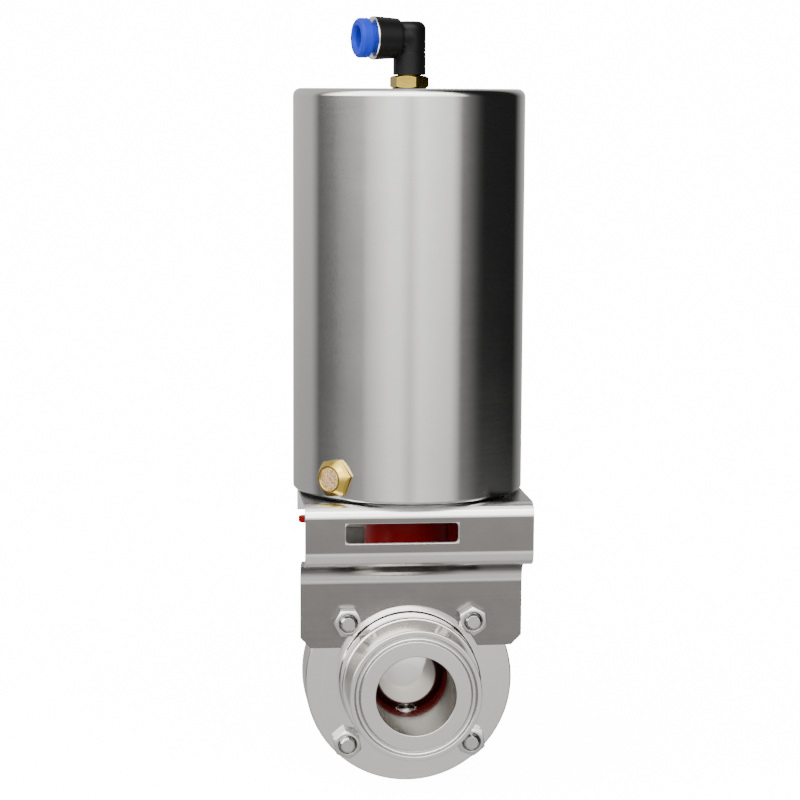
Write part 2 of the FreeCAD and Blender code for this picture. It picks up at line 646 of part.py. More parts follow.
# Brackets: one bent sheet on each side. The front one holds the window slot.
def bracket(label, side, width, shift="0"):
    out = "-" if side == "front" else ""
    rise = "tan(shelf_slope)"
    lift = "sheet_t/cos(shelf_slope)"
    body = new_body(label)
    outline = new_sketch(body, "YZ_Plane", label + "_outline",
                         offset="%s - (%s)/2" % (shift, width))
    polygon(outline, [
        (out + LEG_FACE, "leg_bottom"),
        (out + LEG_FACE, "shelf_z"),
        (out + "bracket_front", "shelf_z + (bracket_front - %s)*%s" % (LEG_FACE, rise)),
        (out + "bracket_front", "bracket_top"),
        ("0", "bracket_top"),
        ("0", "bracket_top - sheet_t"),
        (out + "(bracket_front - sheet_t)", "bracket_top - sheet_t"),
        (out + "(bracket_front - sheet_t)",
         "shelf_z + (bracket_front - sheet_t - %s)*%s + %s" % (LEG_FACE, rise, lift)),
        (out + "flange_t", "shelf_z - sheet_t*%s + %s" % (rise, lift)),
        (out + "flange_t", "leg_bottom")])
    sheet = pad(body, outline, width)
    doc.recompute()
    slope = math.radians(size("shelf_slope"))
    face = size("flange_t") + size("sheet_t")
    front = size("bracket_front")
    top = size("bracket_top")
    shelf = top - size("shelf_drop")
    inner = size("sheet_t") / math.cos(slope)
    corner = shelf + (front - face) * math.tan(slope)
    inner_y = front - size("sheet_t")
    inner_corner = shelf + (inner_y - face) * math.tan(slope) + inner
    back_corner = shelf - size("sheet_t") * math.tan(slope) + inner
    bends = (
        ("bend_r + sheet_t", ((front, top), (front, corner))),
        ("bend_r", ((inner_y, top - size("sheet_t")), (inner_y, inner_corner))),
        ("leg_bend_r", ((face, shelf),)),
        ("leg_bend_r + sheet_t", ((size("flange_t"), back_corner),)))
    base = sheet
    for radius, places in bends:
        def at_bend(middle, run):
            if abs(run.x) < 10 or abs(run.y) > 0.01 or abs(run.z) > 0.01:
                return False
            return any(math.hypot(abs(middle.y) - y, middle.z - z) < 0.05 for y, z in places)
        doc.recompute()
        base = round_edges(body, base, edges_near(base.Shape, at_bend), radius)
    doc.recompute()
    corners = edges_near(base.Shape, lambda middle, run: (
        abs(run.y) > 1 and abs(run.x) < 0.01 and abs(middle.z - size("leg_bottom")) < 0.05))
    round_edges(body, base, corners, "leg_corner", kind="Chamfer")
    away = side == "rear"
    start = ("-(%s + 1)" if away else "%s + 1") % LEG_FACE
    notch = new_sketch(body, "XZ_Plane", label + "_notch", offset=start)
    circle(notch, "0", "0", "notch_d")
    cut(body, notch, "sheet_t + 2", back=away)
    for name, x in (("left", "-" + BOLT_OFF), ("right", BOLT_OFF)):
        hole = new_sketch(body, "XZ_Plane", "%s_%s_bolt_hole" % (label, name), offset=start)
        circle(hole, x, BOLT_OFF, "bolt_d + 2*hole_gap")
        cut(body, hole, "sheet_t + 2", back=away)
    shaft = new_sketch(body, "XY_Plane", label + "_shaft_hole", offset="bracket_top + 1")
    circle(shaft, "0", "0", "shaft_hole_d")
    cut(body, shaft, "sheet_t + 2")
    for name, x in (("left", "-screw_x"), ("right", "screw_x")):
        hole = new_sketch(body, "XY_Plane", "%s_%s_screw_hole" % (label, name),
                          offset="bracket_top + 1")
        circle(hole, x, out + "screw_x", "bolt_d + 2*hole_gap")
        cut(body, hole, "sheet_t + 2")
    return body


front_bracket = bracket("front_bracket", "front", "bracket_w", "bracket_shift")
slot = new_sketch(front_bracket, "XZ_Plane", "window_outline", offset="bracket_front + 1")
rectangle(slot, "window_x", "window_z", "window_w", "window_h")
window = cut(front_bracket, slot, "sheet_t + 2", name="Window")
half_w = size("window_w") / 2
half_h = size("window_h") / 2
window_at = size("bracket_top") - size("window_drop")
corners = edges_near(window.Shape, lambda middle, run: (
    abs(run.y) > 1 and middle.y < -size("bracket_front") / 2
    and abs(abs(middle.x - size("window_x")) - half_w) < 0.05
    and abs(abs(middle.z - window_at) - half_h) < 0.05))
round_edges(front_bracket, window, corners, "window_corner")
nodes.append(front_bracket)

rear_bracket = bracket("rear_bracket", "rear", "rear_w")
for name, way in (("left", "-"), ("right", "")):
    side_cut = new_sketch(rear_bracket, "XZ_Plane", name + "_shoulder",
                          offset="-(bracket_front + 1)")
    polygon(side_cut, [
        (way + "rear_low_w/2", "leg_bottom - 1"),
        (way + "(rear_w/2 + 1)", "leg_bottom - 1"),
        (way + "(rear_w/2 + 1)", "shoulder_z"),
        (way + "rear_low_w/2", "shoulder_z")])
    cut(rear_bracket, side_cut, "bracket_front", back=True)
nodes.append(rear_bracket)


# Body bolts: hexagon heads at the rear, nuts at the front.
def hex_bolt(label, grip):
    """A bolt along -Y whose head seats at y = grip and whose nut seats at y = -grip."""
    body = new_body(label)
    head = new_sketch(body, "XZ_Plane", label + "_head", offset="-(%s)" % grip)
    hexagon(head, "bolt_af")
    pad(body, head, "head_t", back=True)
    shank = new_sketch(body, "XZ_Plane", label + "_shank", offset="-(%s)" % grip)
    circle(shank, "0", "0", "bolt_d")
    pad(body, shank, "2*(%s) + nut_t + bolt_end" % grip)
    return body


def hex_nut(label, grip):
    body = new_body(label)
    outline = new_sketch(body, "XZ_Plane", label + "_outline", offset=grip)
    hexagon(outline, "bolt_af")
    circle(outline, "0", "0", "bolt_d")
    pad(body, outline, "nut_t")
    return body


upper_bolt = hex_bolt("upper_bolt_master", LEG_FACE)
lower_bolt = hex_bolt("lower_bolt_master", "flange_t")
upper_nut = hex_nut("upper_nut_master", LEG_FACE)
lower_nut = hex_nut("lower_nut_master", "flange_t")
nodes.append(copies("upper_body_bolts", upper_bolt,
                    [("-" + BOLT_OFF, "0", BOLT_OFF, 5, 0), (BOLT_OFF, "0", BOLT_OFF, 24, 0)]))
nodes.append(copies("lower_body_bolts", lower_bolt,
                    [("-" + BOLT_OFF, "0", "-" + BOLT_OFF, 40, 0),
                     (BOLT_OFF, "0", "-" + BOLT_OFF, 12, 0)]))
nodes.append(copies("upper_body_nuts", upper_nut,
                    [("-" + BOLT_OFF, "0", BOLT_OFF, 0, 0), (BOLT_OFF, "0", BOLT_OFF, 28, 0)]))
nodes.append(copies("lower_body_nuts", lower_nut,
                    [("-" + BOLT_OFF, "0", "-" + BOLT_OFF, 20, 0),
                     (BOLT_OFF, "0", "-" + BOLT_OFF, 20, 0)]))

# Socket head screws that hold the brackets under the actuator base.
screw = turned("bracket_screw_master", [
    ("0", "bracket_top - sheet_t - bolt_d"),
    ("screw_head_d/2", "bracket_top - sheet_t - bolt_d"),
    ("screw_head_d/2", "bracket_top - sheet_t"),
    ("bolt_d/2", "bracket_top - sheet_t"),
    ("bolt_d/2", "bracket_top + screw_grip"),
    ("0", "bracket_top + screw_grip")])
socket = new_sketch(screw, "XY_Plane", "screw_socket_outline",
                    offset="bracket_top - sheet_t - bolt_d")
hexagon(socket, "screw_socket")
cut(screw, socket, "bolt_d/2", back=True)
nodes.append(copies("bracket_screws", screw, [
    (x, y, "0", 0, 0) for x in ("screw_x", "-screw_x") for y in ("screw_x", "-screw_x")]))

# Actuator base: foot, rim, bearing bore, seat of the guide sleeve and breather port.
base = turned("actuator_base", [
    ("bearing_d/2", "bracket_top"),
    (CAN_R + " - foot_step", "bracket_top"),
    (CAN_R + " - foot_step", "base_rim_z"),
    (CAN_R, "base_rim_z"),
    (CAN_R, "base_top"),
    (GUIDE_R, "base_top"),
    (GUIDE_R, "base_top - guide_seat"),
    (GUIDE_BORE, "base_top - guide_seat"),
    (GUIDE_BORE, "base_top"),
    ("bearing_d/2", "base_top")])
thread = new_sketch(base, "XZ_Plane", "breather_thread", offset="can_d/2")
circle(thread, "0", "port_z", "port_thread_d")
cut(base, thread, "port_depth")
way_in = new_sketch(base, "XZ_Plane", "breather_passage", offset="can_d/2")
circle(way_in, "0", "port_z", "port_bore")
cut(base, way_in, "port_depth + port_bore")
way_up = new_sketch(base, "XY_Plane", "breather_riser", offset="base_top")
circle(way_up, "0", "-(can_d/2 - port_depth - port_bore/2)", "port_bore")
cut(base, way_up, "base_top - port_z")
for number in range(4):
    tapped = new_sketch(base, "XY_Plane", "tapped_hole_%d" % number, offset="bracket_top")
    turn = "(45 + %d + port_angle)" % (90 * number)
    circle(tapped, "screw_x*sqrt(2)*cos(%s)" % turn, "screw_x*sqrt(2)*sin(%s)" % turn, "bolt_d")
    cut(base, tapped, "screw_grip", back=True)
turn_about_stem(base, "-port_angle")
nodes.append(base)

# Cylinder: a deep-drawn can, closed at the top, with the air port and the breather hole.
can = turned("actuator_cylinder", [
    (CAN_R, "can_bottom"),
    ("can_d/2", "can_bottom"),
    ("can_d/2", "can_top"),
    ("port_thread_d/2", "can_top"),
    ("port_thread_d/2", "can_top - can_end"),
    (CAN_R, "can_top - can_end"),
    (CAN_R, "base_rim_z"),
    (CAN_R + " + ring_bite", "base_rim_z"),
    (CAN_R + " + ring_bite", "base_rim_z - ring_t"),
    (CAN_R, "base_rim_z - ring_t")])
doc.recompute()
shell = can.Tip
top_edge = edges_near(shell.Shape, lambda middle, run: (
    math.hypot(middle.x, middle.y) > size("can_d") / 2 - 0.05
    and abs(middle.z - shell.Shape.BoundBox.ZMax) < 0.05))
rounded = round_edges(can, shell, top_edge, "can_top_r")
doc.recompute()
low_edge = edges_near(rounded.Shape, lambda middle, run: (
    math.hypot(middle.x, middle.y) > size("can_d") / 2 - 0.05
    and abs(middle.z - shell.Shape.BoundBox.ZMin) < 0.05))
round_edges(can, rounded, low_edge, "can_foot_r")
breather = new_sketch(can, "XZ_Plane", "breather_hole", offset="can_d/2 + 1")
circle(breather, "0", "port_z", "port_thread_d")
cut(can, breather, "can_wall + 3")
turn_about_stem(can, "-port_angle")
nodes.append(can)

# Split retaining ring between the base rim and the cylinder groove.
snap = ring("retaining_ring", CAN_R + " + ring_bite - ring_w", CAN_R + " + ring_bite",
            "base_rim_z - ring_t", "base_rim_z")
split = new_sketch(snap, "XZ_Plane", "ring_split", offset="-(%s + ring_bite + 1)" % CAN_R)
rectangle(split, "0", "base_rim_z - ring_t/2", "2*ring_w", "ring_t + 2")
cut(snap, split, "2*ring_w", back=True)
nodes.append(snap)

# Shaft bearing, thrust washer and circlip.
nodes.append(ring("shaft_bearing", "shaft_d/2 + run_gap", "bearing_d/2",
                  "bracket_top", "base_top"))
nodes.append(ring("thrust_washer", "shaft_d/2 + run_gap", CAM_R,
                  "base_top", "base_top + washer_t"))

# Helical cam shaft: the square and the journal below, the drum with two helical slots above.
DRUM_LOW = "(base_top + washer_t + run_gap)"
CLIP_TOP = "(bracket_top - run_gap)"
SHAFT_END = "(coupling_z + stem_grip + 1)"
cam = turned("helical_cam_shaft", [
    ("0", "coupling_top"),
    ("shaft_d/2", "coupling_top"),
    ("shaft_d/2", CLIP_TOP + " - clip_t"),
    ("shaft_d/2 - clip_t", CLIP_TOP + " - clip_t"),
    ("shaft_d/2 - clip_t", CLIP_TOP),
    ("shaft_d/2", CLIP_TOP),
    ("shaft_d/2", DRUM_LOW),
    (CAM_R, DRUM_LOW),
    (CAM_R, "pin_z + cam_over"),
    (CAM_BORE, "pin_z + cam_over"),
    (CAM_BORE, "pin_z - stroke - cam_floor"),
    ("0", "pin_z - stroke - cam_floor")])
cam_square = new_sketch(cam, "XY_Plane", "cam_square_end", offset=SHAFT_END)
rectangle(cam_square, "0", "0", "shaft_square", "shaft_square")
pad(cam, cam_square, "coupling_top - coupling_z - stem_grip - 1")
# The slot is cut by a radial roller, so its upright section is taller near the bore.
SLOT = "(roller_d + 2*run_gap)"
LEAD = "(4*stroke)"
inner_r = "(%s - 1)" % CAM_BORE
outer_r = "(%s + 1)" % CAM_R
tall = SLOT + "/2*sqrt(1 + (" + LEAD + "/(2*pi*%s))^2)"
OVER_ANGLE = "(360*slot_over/" + LEAD + ")"
SLOT_LOW = "pin_z - stroke - slot_over"
profile = new_sketch(cam, "XZ_Plane", "slot_section")
profile.AttachmentOffset = FreeCAD.Placement(
    FreeCAD.Vector(), FreeCAD.Rotation(FreeCAD.Vector(0, 1, 0), -1))
profile.setExpression("AttachmentOffset.Rotation.Angle", tie("-" + OVER_ANGLE))
polygon(profile, [
    (inner_r, SLOT_LOW + " - " + tall % inner_r),
    (outer_r, SLOT_LOW + " - " + tall % outer_r),
    (outer_r, SLOT_LOW + " + " + tall % outer_r),
    (inner_r, SLOT_LOW + " + " + tall % inner_r)])
doc.recompute()
helix = cam.newObject("PartDesign::SubtractiveHelix", "HelicalSlot")
helix.Profile = profile
helix.ReferenceAxis = (profile, ["V_Axis"])
helix.Mode = "pitch-height-angle"
helix.setExpression("Pitch", tie(LEAD))
helix.setExpression("Height", tie("stroke + 2*slot_over"))
helix.Angle = 0
helix.LeftHanded = False
helix.Reversed = False
doc.recompute()
around(cam, [helix], "Z_Axis", 2, name="SlotPair")
nodes.append(cam)

# Guide sleeve: two upright slots keep the piston from turning.
guide = ring("guide_sleeve", GUIDE_BORE, GUIDE_R, "base_top - guide_seat", "pin_z + guide_over")
upright = new_sketch(guide, "XZ_Plane", "upright_slot")
rectangle(upright, "0", "pin_z - stroke/2", SLOT, "stroke")
cut(guide, upright, "2*%s + 2" % GUIDE_R, both_ways=True)
for name, height in (("low", "pin_z - stroke"), ("high", "pin_z")):
    end = new_sketch(guide, "XZ_Plane", "upright_end_" + name)
    circle(end, "0", height, SLOT)
    cut(guide, end, "2*%s + 2" % GUIDE_R, both_ways=True)
nodes.append(guide)

# Circlip under the base.
clip = ring("shaft_circlip", "shaft_d/2 - clip_t", "shaft_d/2 + 2.5*clip_t",
            CLIP_TOP + " - clip_t", CLIP_TOP)
clip_gap = new_sketch(clip, "XZ_Plane", "circlip_gap", offset="-(shaft_d/2 + 4*clip_t)")
rectangle(clip_gap, "0", CLIP_TOP, "shaft_d/3", "4*clip_t")
cut(clip, clip_gap, "shaft_d/2 + 4*clip_t", back=True)
nodes.append(clip)

# Piston: crown with the seal and guide ring grooves, spring seat and rod.
SEAL_TOP = "(%s - guide_ring_w/2)" % CROWN_TOP
RING_TOP = "(%s + 1.4*guide_ring_w)" % CROWN_LOW
SPRING_IN = "(spring_d/2 - spring_wire/2 - loose_gap)"
piston = turned("piston", [
    ("0", "pin_z - rod_over"),
    ("rod_d/2", "pin_z - rod_over"),
    ("rod_d/2", CROWN_LOW + " - spring_seat"),
    (SPRING_IN, CROWN_LOW + " - spring_seat"),
    (SPRING_IN, CROWN_LOW),
    (CAN_R + " - piston_gap", CROWN_LOW),
    (CAN_R + " - piston_gap", RING_TOP + " - guide_ring_w"),
    (CAN_R + " - run_gap - guide_ring_t", RING_TOP + " - guide_ring_w"),
    (CAN_R + " - run_gap - guide_ring_t", RING_TOP),
    (CAN_R + " - piston_gap", RING_TOP),
    (CAN_R + " - piston_gap", SEAL_TOP + " - seal_w"),
    (CAN_R + " - run_gap - seal_depth", SEAL_TOP + " - seal_w"),
    (CAN_R + " - run_gap - seal_depth", SEAL_TOP),
    (CAN_R + " - piston_gap", SEAL_TOP),
    (CAN_R + " - piston_gap", CROWN_TOP),
    ("rod_d", CROWN_TOP),
    ("rod_d - 2*crown_gap", CROWN_TOP + " - crown_gap"),
    ("0", CROWN_TOP + " - crown_gap")])
pin_hole = new_sketch(piston, "XZ_Plane", "pin_hole")
circle(pin_hole, "0", "pin_z", "pin_d")
cut(piston, pin_hole, "rod_d + 2", both_ways=True)
nodes.append(piston)
nodes.append(ring("piston_seal", CAN_R + " - run_gap - seal_depth", CAN_R + " - run_gap",
                  SEAL_TOP + " - seal_w", SEAL_TOP))
nodes.append(ring("piston_guide_ring", CAN_R + " - run_gap - guide_ring_t",
                  CAN_R + " - run_gap", RING_TOP + " - guide_ring_w", RING_TOP))

# Cross pin and its rollers: the inner pair runs in the cam, the outer pair in the guide.
cross_pin = new_body("cross_pin")
pin_round = new_sketch(cross_pin, "XZ_Plane", "pin_round")
circle(pin_round, "0", "pin_z", "pin_d")
pad(cross_pin, pin_round, "2*%s" % GUIDE_R, both_ways=True)
nodes.append(cross_pin)


def roller(label, start, end):
    body = new_body(label)
    face = new_sketch(body, "XZ_Plane", label + "_face", offset=start)
    circle(face, "0", "pin_z", "roller_d")
    circle(face, "0", "pin_z", "pin_d")
    pad(body, face, "%s - %s" % (end, start))
    return body


cam_roller = roller("cam_roller_master", CAM_BORE, CAM_R)
guide_roller = roller("guide_roller_master", GUIDE_BORE, GUIDE_R)
nodes.append(copies("cam_rollers", cam_roller, [("0", "0", "0", 0, 0), ("0", "0", "0", 0, 180)]))
nodes.append(copies("guide_rollers", guide_roller, [("0", "0", "0", 0, 0), ("0", "0", "0", 0, 180)]))

# Return spring between the base and the piston crown: tilted half turns, joined end to end.
RISE = "(%s - base_top - spring_wire)" % CROWN_LOW
HALF_RISE = "(%s/spring_turns/2)" % RISE
TILT = "atan(%s/spring_d)" % HALF_RISE
half_turn = doc.addObject("Part::Torus", "SpringHalfTurn")
half_turn.setExpression("Radius1", tie("spring_d/2/cos(%s)" % TILT))
half_turn.setExpression("Radius2", tie("spring_wire/2"))
half_turn.Angle3 = 180
half_turn.Placement = FreeCAD.Placement(
    FreeCAD.Vector(), FreeCAD.Rotation(FreeCAD.Vector(0, 1, 0), 1))
half_turn.setExpression("Placement.Rotation.Angle", tie(TILT))
half_turns = []
for number in range(int(2 * size("spring_turns"))):
    link = doc.addObject("App::Link", "SpringHalfTurn%d" % number)
    link.LinkedObject = half_turn
    link.LinkTransform = True
    facing = FreeCAD.Rotation(FreeCAD.Vector(0, 0, 1), 180 * (number % 2))
    link.Placement = FreeCAD.Placement(FreeCAD.Vector(), facing)
    link.setExpression("Placement.Base.z",
                       tie("base_top + spring_wire/2 + %s*%s" % (number + 0.5, HALF_RISE)))
    half_turns.append(link)
spring = doc.addObject("Part::MultiFuse", "return_spring")
spring.Label = "return_spring"
spring.Shapes = half_turns
spring.Refine = True
nodes.append(spring)

# Breather silencer: hexagon turned to a cone in front, thread and the sintered plug in it.
FACE_Y = "(can_d/2 + silencer_len)"
CORNER_R = "(port_af/sqrt(3))"
CONE_LEN = "((%s + 1 - silencer_nose_d/2)*tan(silencer_slope))" % CORNER_R
silencer = new_body("breather_silencer")
flats = new_sketch(silencer, "XZ_Plane", "silencer_hexagon", offset="can_d/2")
corners = ["(silencer_turn + %d)" % (60 * number) for number in range(6)]
polygon(flats, [("%s*cos(%s)" % (CORNER_R, turn), "port_z + %s*sin(%s)" % (CORNER_R, turn))
                for turn in corners])
pad(silencer, flats, "silencer_len")
cone = new_sketch(silencer, "YZ_Plane", "silencer_cone")
cone.setExpression("AttachmentOffset.Base.y", tie("port_z"))
polygon(cone, [
    ("-" + FACE_Y, "silencer_nose_d/2"),
    ("-" + FACE_Y, CORNER_R + " + 1"),
    ("-(%s - %s)" % (FACE_Y, CONE_LEN), CORNER_R + " + 1")])
groove(silencer, cone, "H_Axis", "Cone")
thread_round = new_sketch(silencer, "XZ_Plane", "silencer_thread", offset="can_d/2")
circle(thread_round, "0", "port_z", "port_thread_d")
pad(silencer, thread_round, "port_depth", back=True)
plug_seat = new_sketch(silencer, "XZ_Plane", "plug_seat", offset=FACE_Y)
circle(plug_seat, "0", "port_z", "plug_d")
cut(silencer, plug_seat, "silencer_len/2")
passage = new_sketch(silencer, "XZ_Plane", "silencer_bore", offset=FACE_Y)
circle(passage, "0", "port_z", "port_bore")
cut(silencer, passage, "silencer_len + port_depth + 1")
turn_about_stem(silencer, "-port_angle")
nodes.append(silencer)
plug = new_body("silencer_plug")
plug_round = new_sketch(plug, "XZ_Plane", "plug_round", offset="can_d/2 + silencer_len/2")
circle(plug_round, "0", "port_z", "plug_d")
pad(plug, plug_round, "silencer_len/2 - plug_sink")
turn_about_stem(plug, "-port_angle")
nodes.append(plug)

# Elbow stud: thread in the closed end, hexagon and the spigot that the elbow turns on.
HEX_TOP = "(can_top + stud_hex)"
SWIVEL_RING = "(can_top + stud_hex + spigot_len/2)"
stud = turned("elbow_stud", [
    ("port_bore/2", "can_top - stud_in"),
    ("port_thread_d/2", "can_top - stud_in"),
    ("port_thread_d/2", "can_top"),
    ("spigot_d/2", "can_top"),
    ("spigot_d/2", SWIVEL_RING + " - swivel_ring_wire/2"),
    ("spigot_d/2 - swivel_ring_wire", SWIVEL_RING + " - swivel_ring_wire/2"),
    ("spigot_d/2 - swivel_ring_wire", SWIVEL_RING + " + swivel_ring_wire/2"),
    ("spigot_d/2", SWIVEL_RING + " + swivel_ring_wire/2"),
    ("spigot_d/2", HEX_TOP + " + spigot_len"),
    ("port_bore/2", HEX_TOP + " + spigot_len")])
stud_hexagon = new_sketch(stud, "XY_Plane", "stud_hexagon", offset="can_top")
hexagon(stud_hexagon, "port_af")
circle(stud_hexagon, "0", "0", "port_bore")
pad(stud, stud_hexagon, "stud_hex")
turn_about_stem(stud, "-(elbow_angle + 1)")
nodes.append(stud)

swivel_ring = doc.addObject("Part::Torus", "swivel_seal_ring")
swivel_ring.Label = "swivel_seal_ring"
swivel_ring.setExpression("Radius1", tie("spigot_d/2 - swivel_ring_wire/2"))
swivel_ring.setExpression("Radius2", tie("swivel_ring_wire/2"))
swivel_ring.setExpression("Placement.Base.z", tie(SWIVEL_RING))
nodes.append(swivel_ring)


# Elbow and tube parts: the socket axis lies at socket_z, along -X before the turn.
def on_socket_axis(body, name):
    sketch = new_sketch(body, "XZ_Plane", name)
    sketch.setExpression("AttachmentOffset.Base.y", tie("socket_z"))
    return sketch


def socket_piece(label, outline):
    """A turned piece on the socket axis; outline holds (distance, radius) pairs."""
    body = new_body(label)
    sketch = on_socket_axis(body, label + "_outline")
    polygon(sketch, [("-(%s)" % away, radius) for away, radius in outline])
    revolve(body, sketch, "H_Axis")
    turn_about_stem(body, "elbow_angle")
    return body


elbow = turned("elbow", [
    ("0", HEX_TOP + " + elbow_gap"),
    ("elbow_d/2", HEX_TOP + " + elbow_gap"),
    ("elbow_d/2", "elbow_top"),
    ("0", "elbow_top")])
doc.recompute()
barrel = elbow.Tip
crown_edge = edges_near(barrel.Shape, lambda middle, run: (
    math.hypot(middle.x, middle.y) > 1
    and abs(middle.z - barrel.Shape.BoundBox.ZMax) < 0.05))
round_edges(elbow, barrel, crown_edge, "elbow_corner")
socket = on_socket_axis(elbow, "socket_outline")
polygon(socket, [
    ("0", "0"),
    ("0", "elbow_d/2"),
    ("-socket_start", "elbow_d/2"),
    ("-socket_start", "socket_root_d/2 - edge_break"),
    ("-(socket_start + edge_break)", "socket_root_d/2"),
    ("-(socket_end - edge_break/2)", "socket_d/2"),
    ("-socket_end", "socket_d/2 - edge_break/2"),
    ("-socket_end", "0")])
revolve(elbow, socket, "H_Axis", "Socket")
MOUTH_RING = "(socket_end - mouth_ring_back - mouth_ring_len)"
inside = on_socket_axis(elbow, "socket_bore")
polygon(inside, [
    ("0", "0"),
    ("0", "air_bore/2"),
    ("-tube_stop", "air_bore/2"),
    ("-tube_stop", "tube_d/2 + run_gap"),
    ("-(%s - tube_seal_len)" % MOUTH_RING, "tube_d/2 + run_gap"),
    ("-(%s - tube_seal_len)" % MOUTH_RING, "tube_seal_d/2"),
    ("-" + MOUTH_RING, "tube_seal_d/2"),
    ("-" + MOUTH_RING, "mouth_ring_d/2"),
    ("-(socket_end + edge_break)", "mouth_ring_d/2"),
    ("-(socket_end + edge_break)", "0")])
groove(elbow, inside, "H_Axis", "SocketBore")
swivel = new_sketch(elbow, "XY_Plane", "swivel_bore", offset=HEX_TOP)
circle(swivel, "0", "0", "spigot_d + 2*run_gap")
cut(elbow, swivel, "spigot_len + loose_gap", back=True)
rising = new_sketch(elbow, "XY_Plane", "air_passage", offset=HEX_TOP)
circle(rising, "0", "0", "air_bore")
cut(elbow, rising, "socket_z - %s" % HEX_TOP, back=True)
turn_about_stem(elbow, "elbow_angle")
nodes.append(elbow)

nodes.append(socket_piece("tube_seal", [
    (MOUTH_RING + " - tube_seal_len", "tube_d/2 + run_gap"),
    (MOUTH_RING + " - tube_seal_len", "tube_seal_d/2"),
    (MOUTH_RING, "tube_seal_d/2"),
    (MOUTH_RING, "tube_d/2 + run_gap")]))
SLEEVE_R = "(tube_d/2 + run_gap + collet_wall)"
nodes.append(socket_piece("mouth_ring", [
    (MOUTH_RING, SLEEVE_R + " + run_gap"),
    (MOUTH_RING, "mouth_ring_d/2"),
    (MOUTH_RING + " + mouth_ring_len", "mouth_ring_d/2"),
    (MOUTH_RING + " + mouth_ring_len", SLEEVE_R + " + run_gap")]))
FLANGE = "socket_end + collet_gap"
nodes.append(socket_piece("tube_release_ring", [
    ("socket_end - collet_in", "tube_d/2 + run_gap"),
    ("socket_end - collet_in", SLEEVE_R),
    (FLANGE, SLEEVE_R),
    (FLANGE, "collet_d/2"),
    (FLANGE + " + collet_t - collet_edge", "collet_d/2"),
    (FLANGE + " + collet_t", "collet_d/2 - collet_edge"),
    (FLANGE + " + collet_t", "tube_d/2 + run_gap + collet_flare"),
    (FLANGE + " + collet_t - 2*collet_flare", "tube_d/2 + run_gap")]))

doc.recompute()
for item in doc.Objects:
    if "Invalid" in item.State or "Error" in item.State:
        raise RuntimeError("%s is in state %s" % (item.Label, item.State))
for node in nodes:
    shape = node.Shape
    if shape.isNull() or not shape.isValid():
        raise RuntimeError("%s has no valid shape" % node.Label)
    shape.exportStep("parts/%s.step" % node.Label)
    box = shape.BoundBox
    print("%-22s solids %d  volume %9.1f  x %7.2f %7.2f  y %7.2f %7.2f  z %7.2f %7.2f" % (
        node.Label, len(shape.Solids), shape.Volume,
        box.XMin, box.XMax, box.YMin, box.YMax, box.ZMin, box.ZMax))
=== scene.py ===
import math

import bmesh
import bpy
from mathutils import Matrix, Vector


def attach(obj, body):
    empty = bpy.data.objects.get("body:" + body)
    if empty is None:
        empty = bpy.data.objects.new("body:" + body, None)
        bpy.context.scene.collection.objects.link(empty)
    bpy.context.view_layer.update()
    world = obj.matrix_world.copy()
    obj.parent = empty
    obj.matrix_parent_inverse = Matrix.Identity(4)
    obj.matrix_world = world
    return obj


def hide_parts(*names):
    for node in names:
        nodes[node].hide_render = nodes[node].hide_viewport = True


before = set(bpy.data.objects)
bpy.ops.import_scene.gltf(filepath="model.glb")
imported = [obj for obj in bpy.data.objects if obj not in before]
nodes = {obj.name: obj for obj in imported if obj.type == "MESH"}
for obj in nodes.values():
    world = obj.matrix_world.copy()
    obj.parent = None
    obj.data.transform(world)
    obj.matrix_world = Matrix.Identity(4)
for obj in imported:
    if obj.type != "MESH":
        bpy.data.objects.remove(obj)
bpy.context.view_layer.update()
MM = 0.001

# Camera: heading, tilt and roll in degrees, place in metres, focal length and picture width in pixels
YAW, PITCH, ROLL = 6.168, 7.478, 0.307
CAMERA_AT = (-0.10009, -0.89941, 0.22711)
FOCAL_PX = 2356.3
PICTURE_PX = 800
SENSOR = 36

# Sizes in millimetres: body and seat
BORE_R = 15.25
NECK_R = 17.0
LIP_R = 25.25
LIP_RIM_Y = 35.0
LIP_SLOPE = 20
FACE_Y = 36.5
GASKET_DEPTH_Y = 35.1
HUB_R = 27.0
HUB_Y = 21.6
FLANGE_R = 40.3
FLANGE_Y = 10.3
POCKET_R = 22.0
POCKET_Y = 9.0
SEAT_R = 14.6
SEAT_LAND_Y = 3.0
STEM_R = 4.0
STEM_BORE_R = 4.05
HOLE_R = 3.3
HOLE_AT = 24.18

# Disc and its trunnions
DISC_R = 14.55
DISC_MID = 6.4
DISC_BAND_R = 11.5
TRUNNION_Z = 13.6
TRUNNION_WAIST = 2.4

# Brackets
SHEET_T = 2
SHELF_SLOPE = 10
SHELF_Z = 46
LEG_Y = 12.3
LEG_LOW = 13.6
BRACKET_Y = 40
BRACKET_TOP = 74.3
SCREW_AT = 19
TOP_HOLE_R = 17
WINDOW_X, WINDOW_Z = -6, 63.4
WINDOW_W, WINDOW_H, WINDOW_R = 42.4, 7.6, 1.6

# Fasteners: M6 bolts and nuts, hexagons across flats, one pitch for all threads
THREAD_PITCH = 1.0
BOLT_AT = 24.183
BOLT_R = 3.0
BOLT_FLATS = 10
BOLT_HEAD_T = 4
NUT_T = 5
NUT_SINK = 0.75

# Cylinder and its two ports
CAN_R = 44.3
CAN_BORE_R = 42.3
CAN_GROOVE_R = 43.2
CAN_LOW = 75.0
CAN_TOP = 228.0
CAN_END = 225.0
PORT_R = 4.8
PORT_FLATS = 13
BREATHER_TURN = 43.7
BREATHER_Z = 83.4
PLUG_R = 4.3

# Elbow fitting
SOCKET_TURN = 15.5
SOCKET_Z = 246.8
AIR_R = 2.75
STUD_AIR_R = 2.5
ELBOW_R = 6.2
TUBE_R = 4.05
RING_SEAT_R = 7.3
RING_SEAT_X = 10.1
SOCKET_END_X = 14.8

